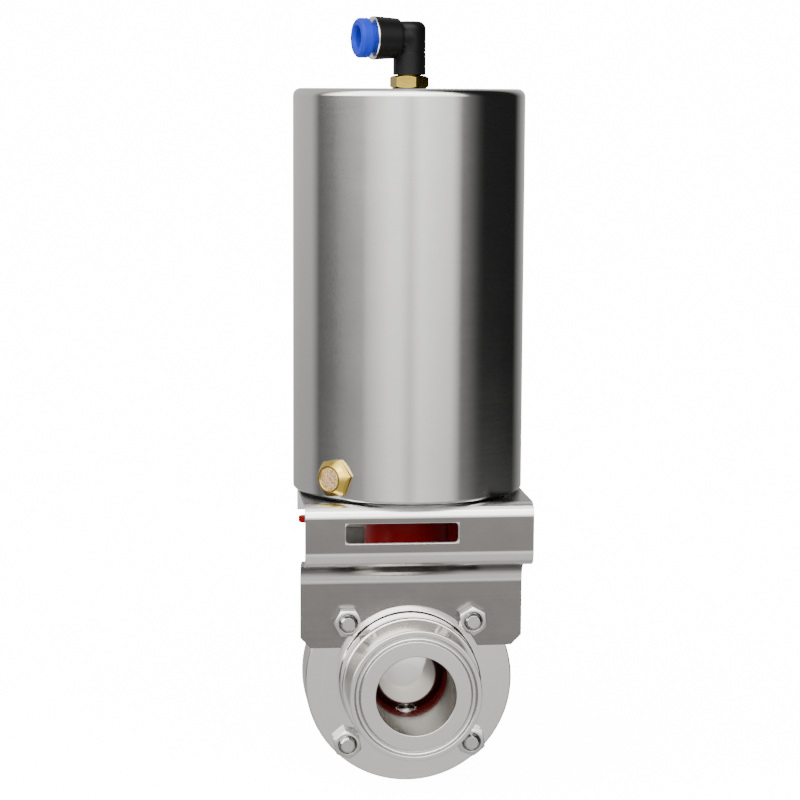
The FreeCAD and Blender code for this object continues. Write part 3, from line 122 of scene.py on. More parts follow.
# Finish: roughness of matte faces, stretch of the sheets' grain, zones of the pressed sheets with
# painted highlight and painted light, the face groove with painted shade
MATTE_ROUGHNESS = 0.5
SHEET_GRAIN = (40, 900, 900)
TOP_BEND_Z = 69.0
LOW_BEND_Z = 55.8
JOGGLE_Z = 39.2
JOGGLE_TOP_Z = 41.5
PLATE_Y = 35.5
SLOT_RIM = 0.3
INSIDE_Y = 39.2
INSIDE_LOW_Z, INSIDE_TOP_Z = 53.5, 73.0
GROOVE_R = 22.3

# Levels of the studio
GROUND = 0.47
OVERHEAD = 6.5
BACKDROP = 16.0
FLOOR_GLOW = 14.0
FLOOR_Z = -0.0418
STRIP_POWER = 5


# Camera
def add_camera():
    """The photographer's place, found from the edges and circles of the object."""
    yaw, pitch, roll = math.radians(YAW), math.radians(PITCH), math.radians(ROLL)
    forward = Vector((math.sin(yaw) * math.cos(pitch), math.cos(yaw) * math.cos(pitch),
                      -math.sin(pitch)))
    right = Vector((math.cos(yaw), -math.sin(yaw), 0))
    up = right.cross(forward)
    right_rolled = math.cos(roll) * right + math.sin(roll) * up
    up_rolled = -math.sin(roll) * right + math.cos(roll) * up
    turn = Matrix((right_rolled, up_rolled, -forward)).transposed().to_4x4()
    data = bpy.data.cameras.new("camera")
    data.sensor_width = SENSOR
    data.sensor_fit = "HORIZONTAL"
    data.lens = FOCAL_PX / PICTURE_PX * SENSOR
    data.clip_start = 0.01
    data.clip_end = 20
    camera = bpy.data.objects.new("camera", data)
    bpy.context.scene.collection.objects.link(camera)
    camera.matrix_world = Matrix.Translation(Vector(CAMERA_AT)) @ turn
    bpy.context.scene.camera = camera


add_camera()


# Node helpers
class Nodes:
    """A node tree under construction, with short calls for the usual nodes."""

    def __init__(self, tree):
        self.tree = tree

    def node(self, kind, **settings):
        made = self.tree.nodes.new("ShaderNode" + kind)
        for key, value in settings.items():
            setattr(made, key, value)
        return made

    def link(self, out, into):
        self.tree.links.new(out, into)

    def math(self, operation, first, second=None):
        made = self.node("Math", operation=operation)
        for number, value in enumerate((first, second)):
            if value is None:
                continue
            if isinstance(value, (int, float)):
                made.inputs[number].default_value = value
            else:
                self.link(value, made.inputs[number])
        return made.outputs[0]

    def noise(self, vector, scale=1.0, detail=3.0, rough=0.5):
        made = self.node("TexNoise")
        made.inputs["Scale"].default_value = scale
        made.inputs["Detail"].default_value = detail
        made.inputs["Roughness"].default_value = rough
        self.link(vector, made.inputs["Vector"])
        return made.outputs["Fac"]

    def remap(self, value, low, high, start=0.0, end=1.0):
        made = self.node("MapRange")
        made.inputs["From Min"].default_value = start
        made.inputs["From Max"].default_value = end
        made.inputs["To Min"].default_value = low
        made.inputs["To Max"].default_value = high
        self.link(value, made.inputs["Value"])
        return made.outputs["Result"]

    def mix(self, factor, low, high):
        made = self.node("Mix", data_type="RGBA")
        if isinstance(factor, (int, float)):
            made.inputs["Factor"].default_value = factor
        else:
            self.link(factor, made.inputs["Factor"])
        for name, value in (("A", low), ("B", high)):
            socket = [s for s in made.inputs if s.name == name and s.type == "RGBA"][0]
            if isinstance(value, tuple):
                socket.default_value = (*value, 1)
            else:
                self.link(value, socket)
        return [s for s in made.outputs if s.type == "RGBA"][0]


class Shader(Nodes):
    """A surface material on the principled shader."""

    def __init__(self, name, color, metallic=0.0, roughness=0.5, **sockets):
        self.mat = bpy.data.materials.new(name)
        self.mat.use_nodes = True
        super().__init__(self.mat.node_tree)
        self.bsdf = self.tree.nodes["Principled BSDF"]
        self.bsdf.inputs["Base Color"].default_value = (*color, 1)
        self.bsdf.inputs["Metallic"].default_value = metallic
        self.bsdf.inputs["Roughness"].default_value = roughness
        for key, value in sockets.items():
            self.bsdf.inputs[key.replace("_", " ")].default_value = value
        self.mat.diffuse_color = (*color, 1)
        self.height = None

    def coords(self, scale=(1, 1, 1)):
        tex = self.node("TexCoord")
        mapping = self.node("Mapping")
        mapping.inputs["Scale"].default_value = scale
        self.link(tex.outputs["Object"], mapping.inputs["Vector"])
        return mapping.outputs["Vector"]

    def around(self, axis="Z", scale=(1, 1, 1)):
        """Coordinates (turns, distance along the axis, radius) about an axis of the row frame."""
        tex = self.node("TexCoord")
        split = self.node("SeparateXYZ")
        self.link(tex.outputs["Object"], split.inputs[0])
        first, second, along = {"Z": ("X", "Y", "Z"), "Y": ("X", "Z", "Y")}[axis]
        angle = self.math("ARCTAN2", split.outputs[second], split.outputs[first])
        square = self.math("ADD", self.math("MULTIPLY", split.outputs[first], split.outputs[first]),
                           self.math("MULTIPLY", split.outputs[second], split.outputs[second]))
        radius = self.math("SQRT", square)
        join = self.node("CombineXYZ")
        for number, part in enumerate((angle, split.outputs[along], radius)):
            self.link(self.math("MULTIPLY", part, scale[number]), join.inputs[number])
        return join.outputs[0]

    def color(self, out):
        self.link(out, self.bsdf.inputs["Base Color"])

    def roughness(self, out):
        self.link(out, self.bsdf.inputs["Roughness"])

    def bump(self, height, depth, strength=1.0):
        made = self.node("Bump")
        made.inputs["Strength"].default_value = strength
        made.inputs["Distance"].default_value = depth
        self.link(height, made.inputs["Height"])
        if self.height is not None:
            self.link(self.height, made.inputs["Normal"])
        self.height = made.outputs["Normal"]
        self.link(self.height, self.bsdf.inputs["Normal"])

    def soft_edges(self, radius):
        """Worn edges: the normal is rounded over a small radius at every sharp edge."""
        made = self.node("Bevel", samples=6)
        made.inputs["Radius"].default_value = radius
        self.height = made.outputs["Normal"]
        self.link(self.height, self.bsdf.inputs["Normal"])


# Mesh helpers
# Angle in degrees above which an edge stays sharp, distance in metres below which points merge
CREASE = 32
MERGE = 1e-7


def evaluated(mesh, kind, **settings):
    """mesh after one modifier."""
    piece = bpy.data.objects.new("work", mesh)
    bpy.context.scene.collection.objects.link(piece)
    change = piece.modifiers.new("change", kind)
    for key, value in settings.items():
        setattr(change, key, value)
    bpy.context.view_layer.update()
    graph = bpy.context.evaluated_depsgraph_get()
    done = bpy.data.meshes.new_from_object(piece.evaluated_get(graph))
    bpy.data.objects.remove(piece)
    return done


def add_object(name, mesh, material, body, replaced):
    """A finished piece: smooth with sharp creases and flat faces kept flat, riding on its body."""
    for face in mesh.polygons:
        face.use_smooth = True
    mesh.set_sharp_from_angle(angle=math.radians(CREASE))
    mesh = evaluated(mesh, "WEIGHTED_NORMAL", mode="FACE_AREA", weight=80, keep_sharp=True)
    mesh.materials.clear()
    mesh.materials.append(material)
    piece = bpy.data.objects.new(name, mesh)
    bpy.context.scene.collection.objects.link(piece)
    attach(piece, body)
    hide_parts(*replaced)


def mesh_from(name, verts, faces, matrix=None):
    data = bmesh.new()
    made = [data.verts.new(v) for v in verts]
    for face in faces:
        if len(set(face)) >= 3:
            try:
                data.faces.new([made[i] for i in dict.fromkeys(face)])
            except ValueError:
                pass
    bmesh.ops.remove_doubles(data, verts=data.verts, dist=MERGE)
    if matrix is not None:
        data.transform(matrix)
    bmesh.ops.recalc_face_normals(data, faces=data.faces)
    mesh = bpy.data.meshes.new(name)
    data.to_mesh(mesh)
    data.free()
    return mesh


def rounded(corners, steps=5):
    """A closed outline whose corners (x, y, radius) are rounded; millimetres."""
    out = []
    count = len(corners)
    for i, (x, y, radius) in enumerate(corners):
        here = Vector((x, y))
        before = Vector(corners[i - 1][:2]) - here
        after = Vector(corners[(i + 1) % count][:2]) - here
        if radius <= 0 or before.length < 1e-6 or after.length < 1e-6:
            out.append((x, y))
            continue
        angle = before.angle(after)
        if angle > math.pi - 0.01:
            out.append((x, y))
            continue
        reach = min(radius / math.tan(angle / 2), before.length * 0.49, after.length * 0.49)
        radius = reach * math.tan(angle / 2)
        start = here + before.normalized() * reach
        end = here + after.normalized() * reach
        middle = (before.normalized() + after.normalized()).normalized()
        centre = here + middle * (radius / math.sin(angle / 2))
        first, last = start - centre, end - centre
        sweep = math.atan2(first.x * last.y - first.y * last.x, first.dot(last))
        for step in range(steps + 1):
            turn = sweep * step / steps
            out.append((centre.x + first.x * math.cos(turn) - first.y * math.sin(turn),
                        centre.y + first.x * math.sin(turn) + first.y * math.cos(turn)))
    return out


def lathe(name, outline, matrix=None, segments=160):
    """A closed (radius, height) outline in millimetres, turned about the local Z axis."""
    verts, faces = [], []
    count = len(outline)
    for step in range(segments):
        angle = 2 * math.pi * step / segments
        for radius, height in outline:
            verts.append((radius * math.cos(angle) * MM, radius * math.sin(angle) * MM, height * MM))
    for step in range(segments):
        here, there = step * count, ((step + 1) % segments) * count
        for i in range(count):
            j = (i + 1) % count
            if outline[i][0] < 1e-6 and outline[j][0] < 1e-6:
                continue
            faces.append((here + i, here + j, there + j, there + i))
    return mesh_from(name, verts, faces, matrix)


def along(direction, origin=(0, 0, 0), up=(0, 0, 1)):
    """A frame whose local Z runs along direction and whose local Y is up, in millimetres."""
    z = Vector(direction).normalized()
    y = Vector(up)
    x = y.cross(z).normalized()
    y = z.cross(x)
    turn = Matrix((x, y, z)).transposed().to_4x4()
    return Matrix.Translation(Vector(origin) * MM) @ turn


def cut_with(mesh, cutters, operation="DIFFERENCE"):
    """mesh with every cutter mesh taken away from it (or joined to it)."""
    piece = bpy.data.objects.new("work", mesh)
    bpy.context.scene.collection.objects.link(piece)
    tools = []
    for cutter in cutters:
        tool = bpy.data.objects.new("tool", cutter)
        bpy.context.scene.collection.objects.link(tool)
        change = piece.modifiers.new("cut", "BOOLEAN")
        change.operation = operation
        change.solver = "EXACT"
        change.object = tool
        tools.append(tool)
    bpy.context.view_layer.update()
    graph = bpy.context.evaluated_depsgraph_get()
    done = bpy.data.meshes.new_from_object(piece.evaluated_get(graph))
    for tool in tools:
        bpy.data.objects.remove(tool)
    bpy.data.objects.remove(piece)
    return done


def bevelled(mesh, width, segments=2, limit=40):
    return evaluated(mesh, "BEVEL", width=width * MM, segments=segments, limit_method="ANGLE",
                     angle_limit=math.radians(limit), use_clamp_overlap=True)


def prism(name, outline, low, high, matrix=None):
    """A closed 2-D outline in millimetres, drawn out along the local Z axis."""
    count = len(outline)
    verts = [(x * MM, y * MM, low * MM) for x, y in outline]
    verts += [(x * MM, y * MM, high * MM) for x, y in outline]
    faces = [tuple(range(count))[::-1], tuple(range(count, 2 * count))]
    for i in range(count):
        j = (i + 1) % count
        faces.append((i, j, j + count, i + count))
    return mesh_from(name, verts, faces, matrix)


def square(half):
    return [(-half, -half), (half, -half), (half, half), (-half, half)]


def round_bar(radius, low, high, matrix=None, segments=96):
    return lathe("bar", [(0, low), (radius, low), (radius, high), (0, high)], matrix, segments)


def hexagon_block(name, flats, low, high, bore, matrix=None, chamfer=(True, True), sink=0.35,
                  nose=None):
    """A hexagon with cone-chamfered ends and a countersunk bore, as nuts and fittings have.

    nose holds the radius and the slope in degrees of a deeper cone at the high end.
    """
    count = 96
    face_r = flats / 2 * 0.96
    slope = math.tan(math.radians(30))
    nose_r, nose_slope = nose or (face_r, 30)
    nose_slope = math.tan(math.radians(nose_slope))
    rings = []

    def ring(radius_of, height_of):
        points = []
        for i in range(count):
            angle = 2 * math.pi * i / count
            corner = flats / 2 / math.cos((angle + math.pi / 6) % (math.pi / 3) - math.pi / 6)
            radius = radius_of(corner)
            points.append((radius * math.cos(angle) * MM, radius * math.sin(angle) * MM,
                           height_of(corner) * MM))
        rings.append(points)

    if bore > 0:
        ring(lambda c: bore, lambda c: low + sink)
        ring(lambda c: bore + sink, lambda c: low)
    else:
        ring(lambda c: 0, lambda c: low)
    ring(lambda c: face_r, lambda c: low)
    ring(lambda c: c, lambda c: low + ((c - face_r) * slope if chamfer[0] else 0))
    ring(lambda c: c, lambda c: high - ((c - nose_r) * nose_slope if chamfer[1] else 0))
    ring(lambda c: nose_r, lambda c: high)
    if bore > 0:
        ring(lambda c: bore + sink, lambda c: high)
        ring(lambda c: bore, lambda c: high - sink)
    else:
        ring(lambda c: 0, lambda c: high)
    verts = [v for points in rings for v in points]
    faces = []
    last = len(rings) if bore > 0 else len(rings) - 1
    for r in range(last):
        a, b = r * count, ((r + 1) % len(rings)) * count
        for i in range(count):
            j = (i + 1) % count
            faces.append((a + i, a + j, b + j, b + i))
    return mesh_from(name, verts, faces, matrix)


def threaded_bar(name, radius, pitch, low, high, matrix=None, chamfer=0.6):
    """A bar with a real helical thread between low and high, and chamfered ends."""
    around, depth = 48, 0.54 * pitch
    rows = max(4, int((high - low) / (pitch / 8)))
    verts, faces = [], []
    for row in range(rows + 1):
        height = low + (high - low) * row / rows
        edge = min(height - low, high - height)
        for i in range(around):
            turn = i / around
            phase = (height / pitch - turn) % 1.0
            dip = depth * (1 - abs(2 * phase - 1)) ** 0.8
            r = min(radius - dip, radius - max(0, chamfer - edge))
            angle = 2 * math.pi * turn
            verts.append((r * math.cos(angle) * MM, r * math.sin(angle) * MM, height * MM))
    for row in range(rows):
        for i in range(around):
            j = (i + 1) % around
            a, b = row * around, (row + 1) * around
            faces.append((a + i, a + j, b + j, b + i))
    faces.append(tuple(range(around))[::-1])
    faces.append(tuple(range(rows * around, (rows + 1) * around)))
    return mesh_from(name, verts, faces, matrix)


def joined(name, meshes):
    """Several meshes as one, with no boolean."""
    data = bmesh.new()
    for mesh in meshes:
        data.from_mesh(mesh)
    whole = bpy.data.meshes.new(name)
    data.to_mesh(whole)
    data.free()
    return whole


# Materials
def turned_steel(name, axis, color, roughness, lines, grain=0.000006, dull_and_shade=None, shade_color=None,
                 dull_roughness=0.3):
    """Stainless steel turned or polished round an axis: fine rings, faint cloudy wear.

    The mask function gives, from the material, masks of the zones that are made rougher and take the
    dark colour as painted shade, and of the zones left matte.
    """
    m = Shader(name, color, metallic=1.0, roughness=roughness, Anisotropic=0.8,
               Anisotropic_Rotation=0.25)
    tangent = m.node("Tangent", direction_type="RADIAL", axis=axis)
    m.link(tangent.outputs[0], m.bsdf.inputs["Tangent"])
    fine = m.noise(m.around(axis, (2.2, lines, lines)), 1.0, 3.0, 0.6)
    cloud = m.noise(m.coords(), 55.0, 4.0, 0.55)
    rough = m.math("ADD", m.remap(fine, -0.012, 0.015),
                   m.remap(cloud, roughness - 0.015, roughness + 0.02))
    tone = m.math("ADD", m.math("MULTIPLY", fine, 0.5), m.math("MULTIPLY", cloud, 0.5))
    low = tuple(c * 0.94 for c in color)
    high = tuple(min(1, c * 1.05) for c in color)
    steel = m.mix(tone, low, high)
    if dull_and_shade:
        shaded_zone, matte = dull_and_shade(m)
        # Painted shade: the marked zones take the dark colour.
        steel = m.mix(shaded_zone, steel, shade_color)
        rough = m.math("ADD", rough, m.math("MULTIPLY", shaded_zone, dull_roughness - roughness))
        if matte:
            rough = m.math("ADD", rough, m.math("MULTIPLY", matte, MATTE_ROUGHNESS))
    m.roughness(rough)
    m.color(steel)
    m.soft_edges(0.0003)
    m.bump(fine, grain, 0.2)
    return m.mat


def bore_shade_zone(m):
    """1 on the wall of the flow bore, turned but not polished and so rougher, and part of it in the
    face groove; these recesses take the dark colour as painted shade.
    """
    split = m.node("SeparateXYZ")
    m.link(m.around("Y"), split.inputs[0])
    depth = m.math("ABSOLUTE", split.outputs["Y"])
    bore = m.remap(split.outputs["Z"], 1.0, 0.0, (BORE_R + 0.05) * MM, (BORE_R + 0.3) * MM)
    off = m.math("ABSOLUTE", m.math("SUBTRACT", split.outputs["Z"], GROOVE_R * MM))
    wall = m.math("MULTIPLY", m.remap(off, 0.0, 1.0, 0.0005, 0.0007),
                  m.remap(off, 1.0, 0.0, 0.0012, 0.0014))
    wall = m.math("MULTIPLY", wall, m.math("GREATER_THAN", depth, (GASKET_DEPTH_Y - 0.6) * MM))
    return m.math("MAXIMUM", bore, m.math("MULTIPLY", wall, 0.45)), None


def disc_edge_shade(m):
    """1 on the sloping edge band of the disc, which takes the dark colour as painted shade and painted
    reflection of the dark gap at the seat, and 1 on the faces of its trunnions, which are only made
    matte.
    """
    split = m.node("SeparateXYZ")
    m.link(m.around("Y"), split.inputs[0])
    band = m.remap(split.outputs["Z"], 0.0, 1.0, (DISC_BAND_R - 0.6) * MM, (DISC_BAND_R + 0.6) * MM)
    pole = m.node("SeparateXYZ")
    m.link(m.around("Z"), pole.inputs[0])
    trunnion = m.math("GREATER_THAN", m.math("ABSOLUTE", pole.outputs["Y"]),
                      (TRUNNION_Z - 0.25) * MM)
    near = m.math("MULTIPLY", trunnion, m.math("LESS_THAN", pole.outputs["Z"], (STEM_R + 0.3) * MM))
    return m.math("MULTIPLY", band, m.math("SUBTRACT", 1.0, near)), near


def painted_light_zones(m):
    """1 where the sheet takes the light colour as painted highlight, painted reflection and painted
    light (bends, edge of the window slot, a band at the joggle, inside), and 1 inside alone.
    """
    split = m.node("SeparateXYZ")
    m.link(m.coords(), split.inputs[0])
    x, y, z = split.outputs
    out = m.math("ABSOLUTE", y)
    bends = m.math("ADD", m.remap(z, 0.0, 1.0, TOP_BEND_Z * MM, (TOP_BEND_Z + 0.4) * MM),
                   m.remap(z, 1.0, 0.0, LOW_BEND_Z * MM, (LOW_BEND_Z + 0.5) * MM))
    joggle = m.math("MULTIPLY", m.remap(z, 0.0, 1.0, (JOGGLE_Z - 0.6) * MM, (JOGGLE_Z + 0.4) * MM),
                    m.remap(z, 1.0, 0.0, JOGGLE_TOP_Z * MM, (JOGGLE_TOP_Z + 2) * MM))
    plate = m.remap(out, 0.0, 1.0, PLATE_Y * MM, (PLATE_Y + 0.5) * MM)
    side = m.math("SUBTRACT", m.math("ABSOLUTE", m.math("SUBTRACT", x, WINDOW_X * MM)),
                  (WINDOW_W / 2 + SLOT_RIM) * MM)
    height = m.math("SUBTRACT", m.math("ABSOLUTE", m.math("SUBTRACT", z, WINDOW_Z * MM)),
                    (WINDOW_H / 2 + SLOT_RIM) * MM)
    slot = m.remap(m.math("MAXIMUM", side, height), 1.0, 0.0, -0.0002, 0.0)
    slot = m.math("MULTIPLY", slot, m.math("LESS_THAN", y, 0.0))
    bends = m.math("MAXIMUM", bends, slot)
    inside = m.math("MULTIPLY", m.math("GREATER_THAN", z, INSIDE_LOW_Z * MM),
                    m.math("LESS_THAN", z, INSIDE_TOP_Z * MM))
    inside = m.math("MULTIPLY", m.math("LESS_THAN", out, INSIDE_Y * MM), inside)
    bends = m.math("ADD", m.math("MULTIPLY", plate, bends),
                   m.math("MULTIPLY", m.math("SUBTRACT", 1.0, plate), joggle))
    return m.math("MAXIMUM", bends, inside), inside


def sheet_metal(name, color, highlight_color, roughness):
    """Pickled sheet: straight grain, soft cloudiness from the bath; bends, slot edge, joggle and inside
    take a light colour as painted highlight and painted light.
    """
    m = Shader(name, color, metallic=1.0, roughness=roughness, Anisotropic=0.3)
    grain = m.noise(m.coords(SHEET_GRAIN), 1.0, 3.0, 0.6)
    cloud = m.noise(m.coords(), 90.0, 5.0, 0.6)
    spots = m.noise(m.coords(), 900.0, 2.0, 0.5)
    painted_light_mask, inside = painted_light_zones(m)
    rough = m.math("ADD", m.remap(grain, -0.04, 0.05),
                   m.remap(cloud, roughness - 0.05, roughness + 0.07))
    m.roughness(m.math("ADD", rough, m.math("MULTIPLY", inside, 0.4)))
    low = tuple(c * 0.85 for c in color)
    high = tuple(min(1, c * 1.1) for c in color)
    tone = m.math("ADD", m.math("MULTIPLY", cloud, 0.6), m.math("MULTIPLY", grain, 0.4))
    bath = m.mix(tone, low, high)
    # Painted highlight and painted light: the marked zones take the second, light colour.
    m.color(m.mix(painted_light_mask, bath, highlight_color))
    m.soft_edges(0.00035)
    m.bump(spots, 0.000004, 0.4)
    m.bump(grain, 0.00001, 0.35)
    return m.mat


def machined(name, color, roughness, scale=700, spread=0.1):
    """Small machined or cast metal pieces: fine tool marks and a little tarnish."""
    m = Shader(name, color, metallic=1.0, roughness=roughness)
    marks = m.noise(m.coords(), scale, 3.0, 0.55)
    stain = m.noise(m.coords(), scale / 8, 4.0, 0.6)
    m.roughness(m.math("ADD", m.remap(marks, -0.03, 0.04),
                       m.remap(stain, roughness - 0.05, roughness + 0.06)))
    low = tuple(c * (1 - spread * 1.6) for c in color)
    high = tuple(min(1, c * (1 + spread * 0.6)) for c in color)
    m.color(m.mix(stain, low, high))
    m.soft_edges(0.00018)
    m.bump(marks, 0.000015, 0.5)
    return m.mat


def moulded(name, color, roughness, scale=1400, depth=0.00002, spread=0.12, **extra):
    """Moulded plastic or rubber: fine texture of the mould and slight unevenness of colour."""
    m = Shader(name, color, metallic=0.0, roughness=roughness, **extra)
    skin = m.noise(m.coords(), scale, 2.0, 0.5)
    wide = m.noise(m.coords(), scale / 16, 4.0, 0.55)
    m.roughness(m.math("ADD", m.remap(skin, -0.04, 0.05),
                       m.remap(wide, roughness - 0.05, roughness + 0.06)))
    low = tuple(c * (1 - spread) for c in color)
    high = tuple(min(1, c * (1 + spread) + 0.0005) for c in color)
    m.color(m.mix(wide, low, high))
    m.soft_edges(0.0002)
    m.bump(skin, depth, 0.5)
    return m.mat


def sintered_metal(name):
    """Porous bronze: packed grains with dark pores between them."""
    m = Shader(name, (0.55, 0.43, 0.25), metallic=0.9, roughness=0.5)
    cells = m.node("TexVoronoi", feature="F1")
    cells.inputs["Scale"].default_value = 1700
    m.link(m.coords(), cells.inputs["Vector"])
    near = m.remap(cells.outputs["Distance"], 1.0, 0.0, 0.05, 0.65)
    m.color(m.mix(near, (0.42, 0.27, 0.12), (1.0, 0.72, 0.42)))
    m.bump(near, 0.00012, 0.9)
    return m.mat


M = {
    "can": turned_steel("can_steel", "Z", (0.70, 0.693, 0.68), 0.13, 700),
    # The dark second colour is painted shade on the bore wall and in the face groove.
    "body": turned_steel("body_steel", "Y", (0.74, 0.725, 0.70), 0.08, 1100,
                         dull_and_shade=bore_shade_zone, shade_color=(0.155, 0.14, 0.12)),
    # The second, light colour is painted highlight and painted light on the bends, slot edge, joggle
    # and inside.
    "sheet": sheet_metal("sheet_steel", (0.21, 0.20, 0.192), (0.72, 0.71, 0.69), 0.22),
    # The dark second colour is painted shade and painted reflection on the disc's edge band.
    "disc": turned_steel("disc_steel", "Y", (0.78, 0.775, 0.76), 0.06, 1300, 0.000006,
                         dull_and_shade=disc_edge_shade, shade_color=(0.20, 0.185, 0.17)),
    "fastener": machined("fastener_steel", (0.58, 0.57, 0.55), 0.16, scale=900),
    "shaft": machined("shaft_steel", (0.55, 0.55, 0.55), 0.26),
    "spring": machined("spring_steel", (0.20, 0.21, 0.23), 0.38),
    "aluminium": machined("base_aluminium", (0.74, 0.75, 0.76), 0.32, scale=500),
    "brass": machined("brass", (0.62, 0.43, 0.075), 0.2, scale=800, spread=0.08),
    "stud": machined("stud_brass", (0.40, 0.285, 0.05), 0.2, scale=800, spread=0.1),
    "sintered": sintered_metal("sintered_bronze"),
    "silicone": moulded("red_silicone", (0.12, 0.0015, 0.001), 0.3, 1100, 0.00001,
                        Specular_IOR_Level=0.12),
    "indicator": moulded("indicator_red", (0.16, 0.001, 0.0015), 0.3, 800, 0.000008,
                         Specular_IOR_Level=0.12),
    "rubber": moulded("black_rubber", (0.015, 0.015, 0.016), 0.6, 1500, 0.00003),
    "bearing": moulded("bearing_plastic", (0.78, 0.76, 0.70), 0.45),
    "black": moulded("black_plastic", (0.003, 0.003, 0.003), 0.38, 1700, 0.00002,
                     Specular_IOR_Level=0.14),
    "blue": moulded("blue_plastic", (0.012, 0.028, 0.38), 0.3, 900, 0.000008,
                    Specular_IOR_Level=0.06),
    "chrome": machined("mouth_chrome", (0.85, 0.85, 0.84), 0.14, scale=600, spread=0.04),
}

CARRIED = {
    "upper_stem_bush": "bearing", "lower_stem_bush": "bearing", "stem_seal_rings": "rubber",
    "valve_stem": "shaft", "actuator_base": "aluminium", "retaining_ring": "spring",
    "shaft_bearing": "bearing", "thrust_washer": "bearing", "helical_cam_shaft": "shaft",
    "guide_sleeve": "shaft", "shaft_circlip": "spring", "piston": "aluminium",
    "piston_seal": "rubber", "piston_guide_ring": "bearing", "cross_pin": "shaft",
    "cam_rollers": "fastener", "guide_rollers": "fastener", "return_spring": "spring",
    "swivel_seal_ring": "rubber", "tube_seal": "rubber", "silencer_plug": "sintered",
    "front_body_half": "body", "rear_body_half": "body", "seat": "silicone", "disc": "disc",
    "coupling": "fastener", "indicator": "indicator", "front_bracket": "sheet",
    "rear_bracket": "sheet", "upper_body_bolts": "fastener", "lower_body_bolts": "fastener",
    "upper_body_nuts": "fastener", "lower_body_nuts": "fastener", "bracket_screws": "fastener",
    "actuator_cylinder": "can", "breather_silencer": "brass", "elbow_stud": "stud",
    "elbow": "black", "mouth_ring": "chrome", "tube_release_ring": "blue",
}
for node_name, key in CARRIED.items():
    held = nodes[node_name].data.materials
    held.clear()
    held.append(M[key])


# Frames of the parts
FRONT = along((0, -1, 0))
REAR = along((0, 1, 0))
BREATHER = along((-math.sin(math.radians(BREATHER_TURN)), -math.cos(math.radians(BREATHER_TURN)), 0),
                 (0, 0, BREATHER_Z))
SOCKET = along((-math.cos(math.radians(SOCKET_TURN)), -math.sin(math.radians(SOCKET_TURN)), 0),
               (0, 0, SOCKET_Z))
HEX_TURN = Matrix.Rotation(math.radians(30), 4, "Z")


# Body halves, seat, disc
def body_half(name, matrix):
    lip_back = LIP_RIM_Y - (LIP_R - NECK_R) * math.tan(math.radians(LIP_SLOPE))
    outline = rounded([
        (BORE_R, POCKET_Y, 0), (BORE_R, FACE_Y, 0.3), (21.1, FACE_Y, 0.25),
        (21.75, GASKET_DEPTH_Y, 0.5), (22.85, GASKET_DEPTH_Y, 0.5), (23.5, FACE_Y, 0.25),
        (LIP_R, FACE_Y, 0.35), (LIP_R, LIP_RIM_Y, 0.4), (NECK_R, lip_back, 1.6), (NECK_R, HUB_Y, 1.2),
        (HUB_R, HUB_Y, 0.8), (HUB_R, FLANGE_Y, 0.7), (FLANGE_R, FLANGE_Y, 0.8), (FLANGE_R, 0.0, 0.25),
        (POCKET_R, 0.0, 0), (POCKET_R, POCKET_Y, 0)])
    mesh = lathe(name, outline, matrix, 224)
    cutters = [round_bar(7.0, 15, 45), round_bar(7.0, -31, -15)]
    for x in (-HOLE_AT, HOLE_AT):
        for z in (-HOLE_AT, HOLE_AT):
            place = matrix @ Matrix.Translation((x * MM, z * MM, 0))
            cutters.append(round_bar(HOLE_R, -2, 13, place, 48))
    return cut_with(mesh, cutters)


add_object("front_half_turned", body_half("front_half", FRONT), M["body"], "housing",
           ["front_body_half"])
add_object("rear_half_turned", body_half("rear_half", REAR), M["body"], "housing",
           ["rear_body_half"])

seat_outline = rounded([
    (BORE_R, -POCKET_Y, 0.4), (SEAT_R, -SEAT_LAND_Y, 1.5), (SEAT_R, SEAT_LAND_Y, 1.5),
    (BORE_R, POCKET_Y, 0.4), (POCKET_R, POCKET_Y, 0.3), (POCKET_R, -POCKET_Y, 0.3)])
seat = cut_with(lathe("seat", seat_outline, FRONT, 200), [round_bar(STEM_BORE_R, -25, 25)])
add_object("seat_moulded", seat, M["silicone"], "housing", ["seat"])


def disc_mesh():
    """A dished plate with a steeper edge band, on one trunnion above and below."""
    rim_y, mid = 1.0, DISC_MID / 2
    rim_z = math.sqrt(DISC_R ** 2 - rim_y ** 2)
    front = rounded([
        (-1.0, mid, 0), (5.5, mid - 0.12, 60.0), (DISC_BAND_R, mid - 0.55, 2.0), (rim_z, rim_y, 0.3),
        (rim_z, -rim_y, 0.3), (-1.0, -rim_y, 0)], 8)
    front = [(max(r, 0.0), y) for r, y in front if r > -0.5 and y > 0]
    front.insert(0, (0.0, mid))
    back = [(r, -y) for r, y in reversed(front)]
    plate = lathe("plate", front + back, FRONT, 192)
    hub = lathe("hub", rounded([
        (0, TRUNNION_Z, 0), (STEM_R, TRUNNION_Z, 0.35), (TRUNNION_WAIST, 12.0, 1.2),
        (TRUNNION_WAIST, -12.0, 1.2), (STEM_R, -TRUNNION_Z, 0.35), (STEM_R, -30.5, 0.5),
        (0, -30.5, 0)]), None, 96)
    whole = cut_with(plate, [hub], "UNION")
    tang = prism("tang", square(1.4), 6.1, 14.6)
    return cut_with(whole, [tang, round_bar(STEM_R, TRUNNION_Z, 16)])


add_object("disc_polished", disc_mesh(), M["disc"], "rotor", ["disc"])


# Brackets
def window_outline():
    left, right = WINDOW_X - WINDOW_W / 2, WINDOW_X + WINDOW_W / 2
    low, high = WINDOW_Z - WINDOW_H / 2, WINDOW_Z + WINDOW_H / 2
    return rounded([(left, low, WINDOW_R), (right, low, WINDOW_R), (right, high, WINDOW_R),
                    (left, high, WINDOW_R)], 6)


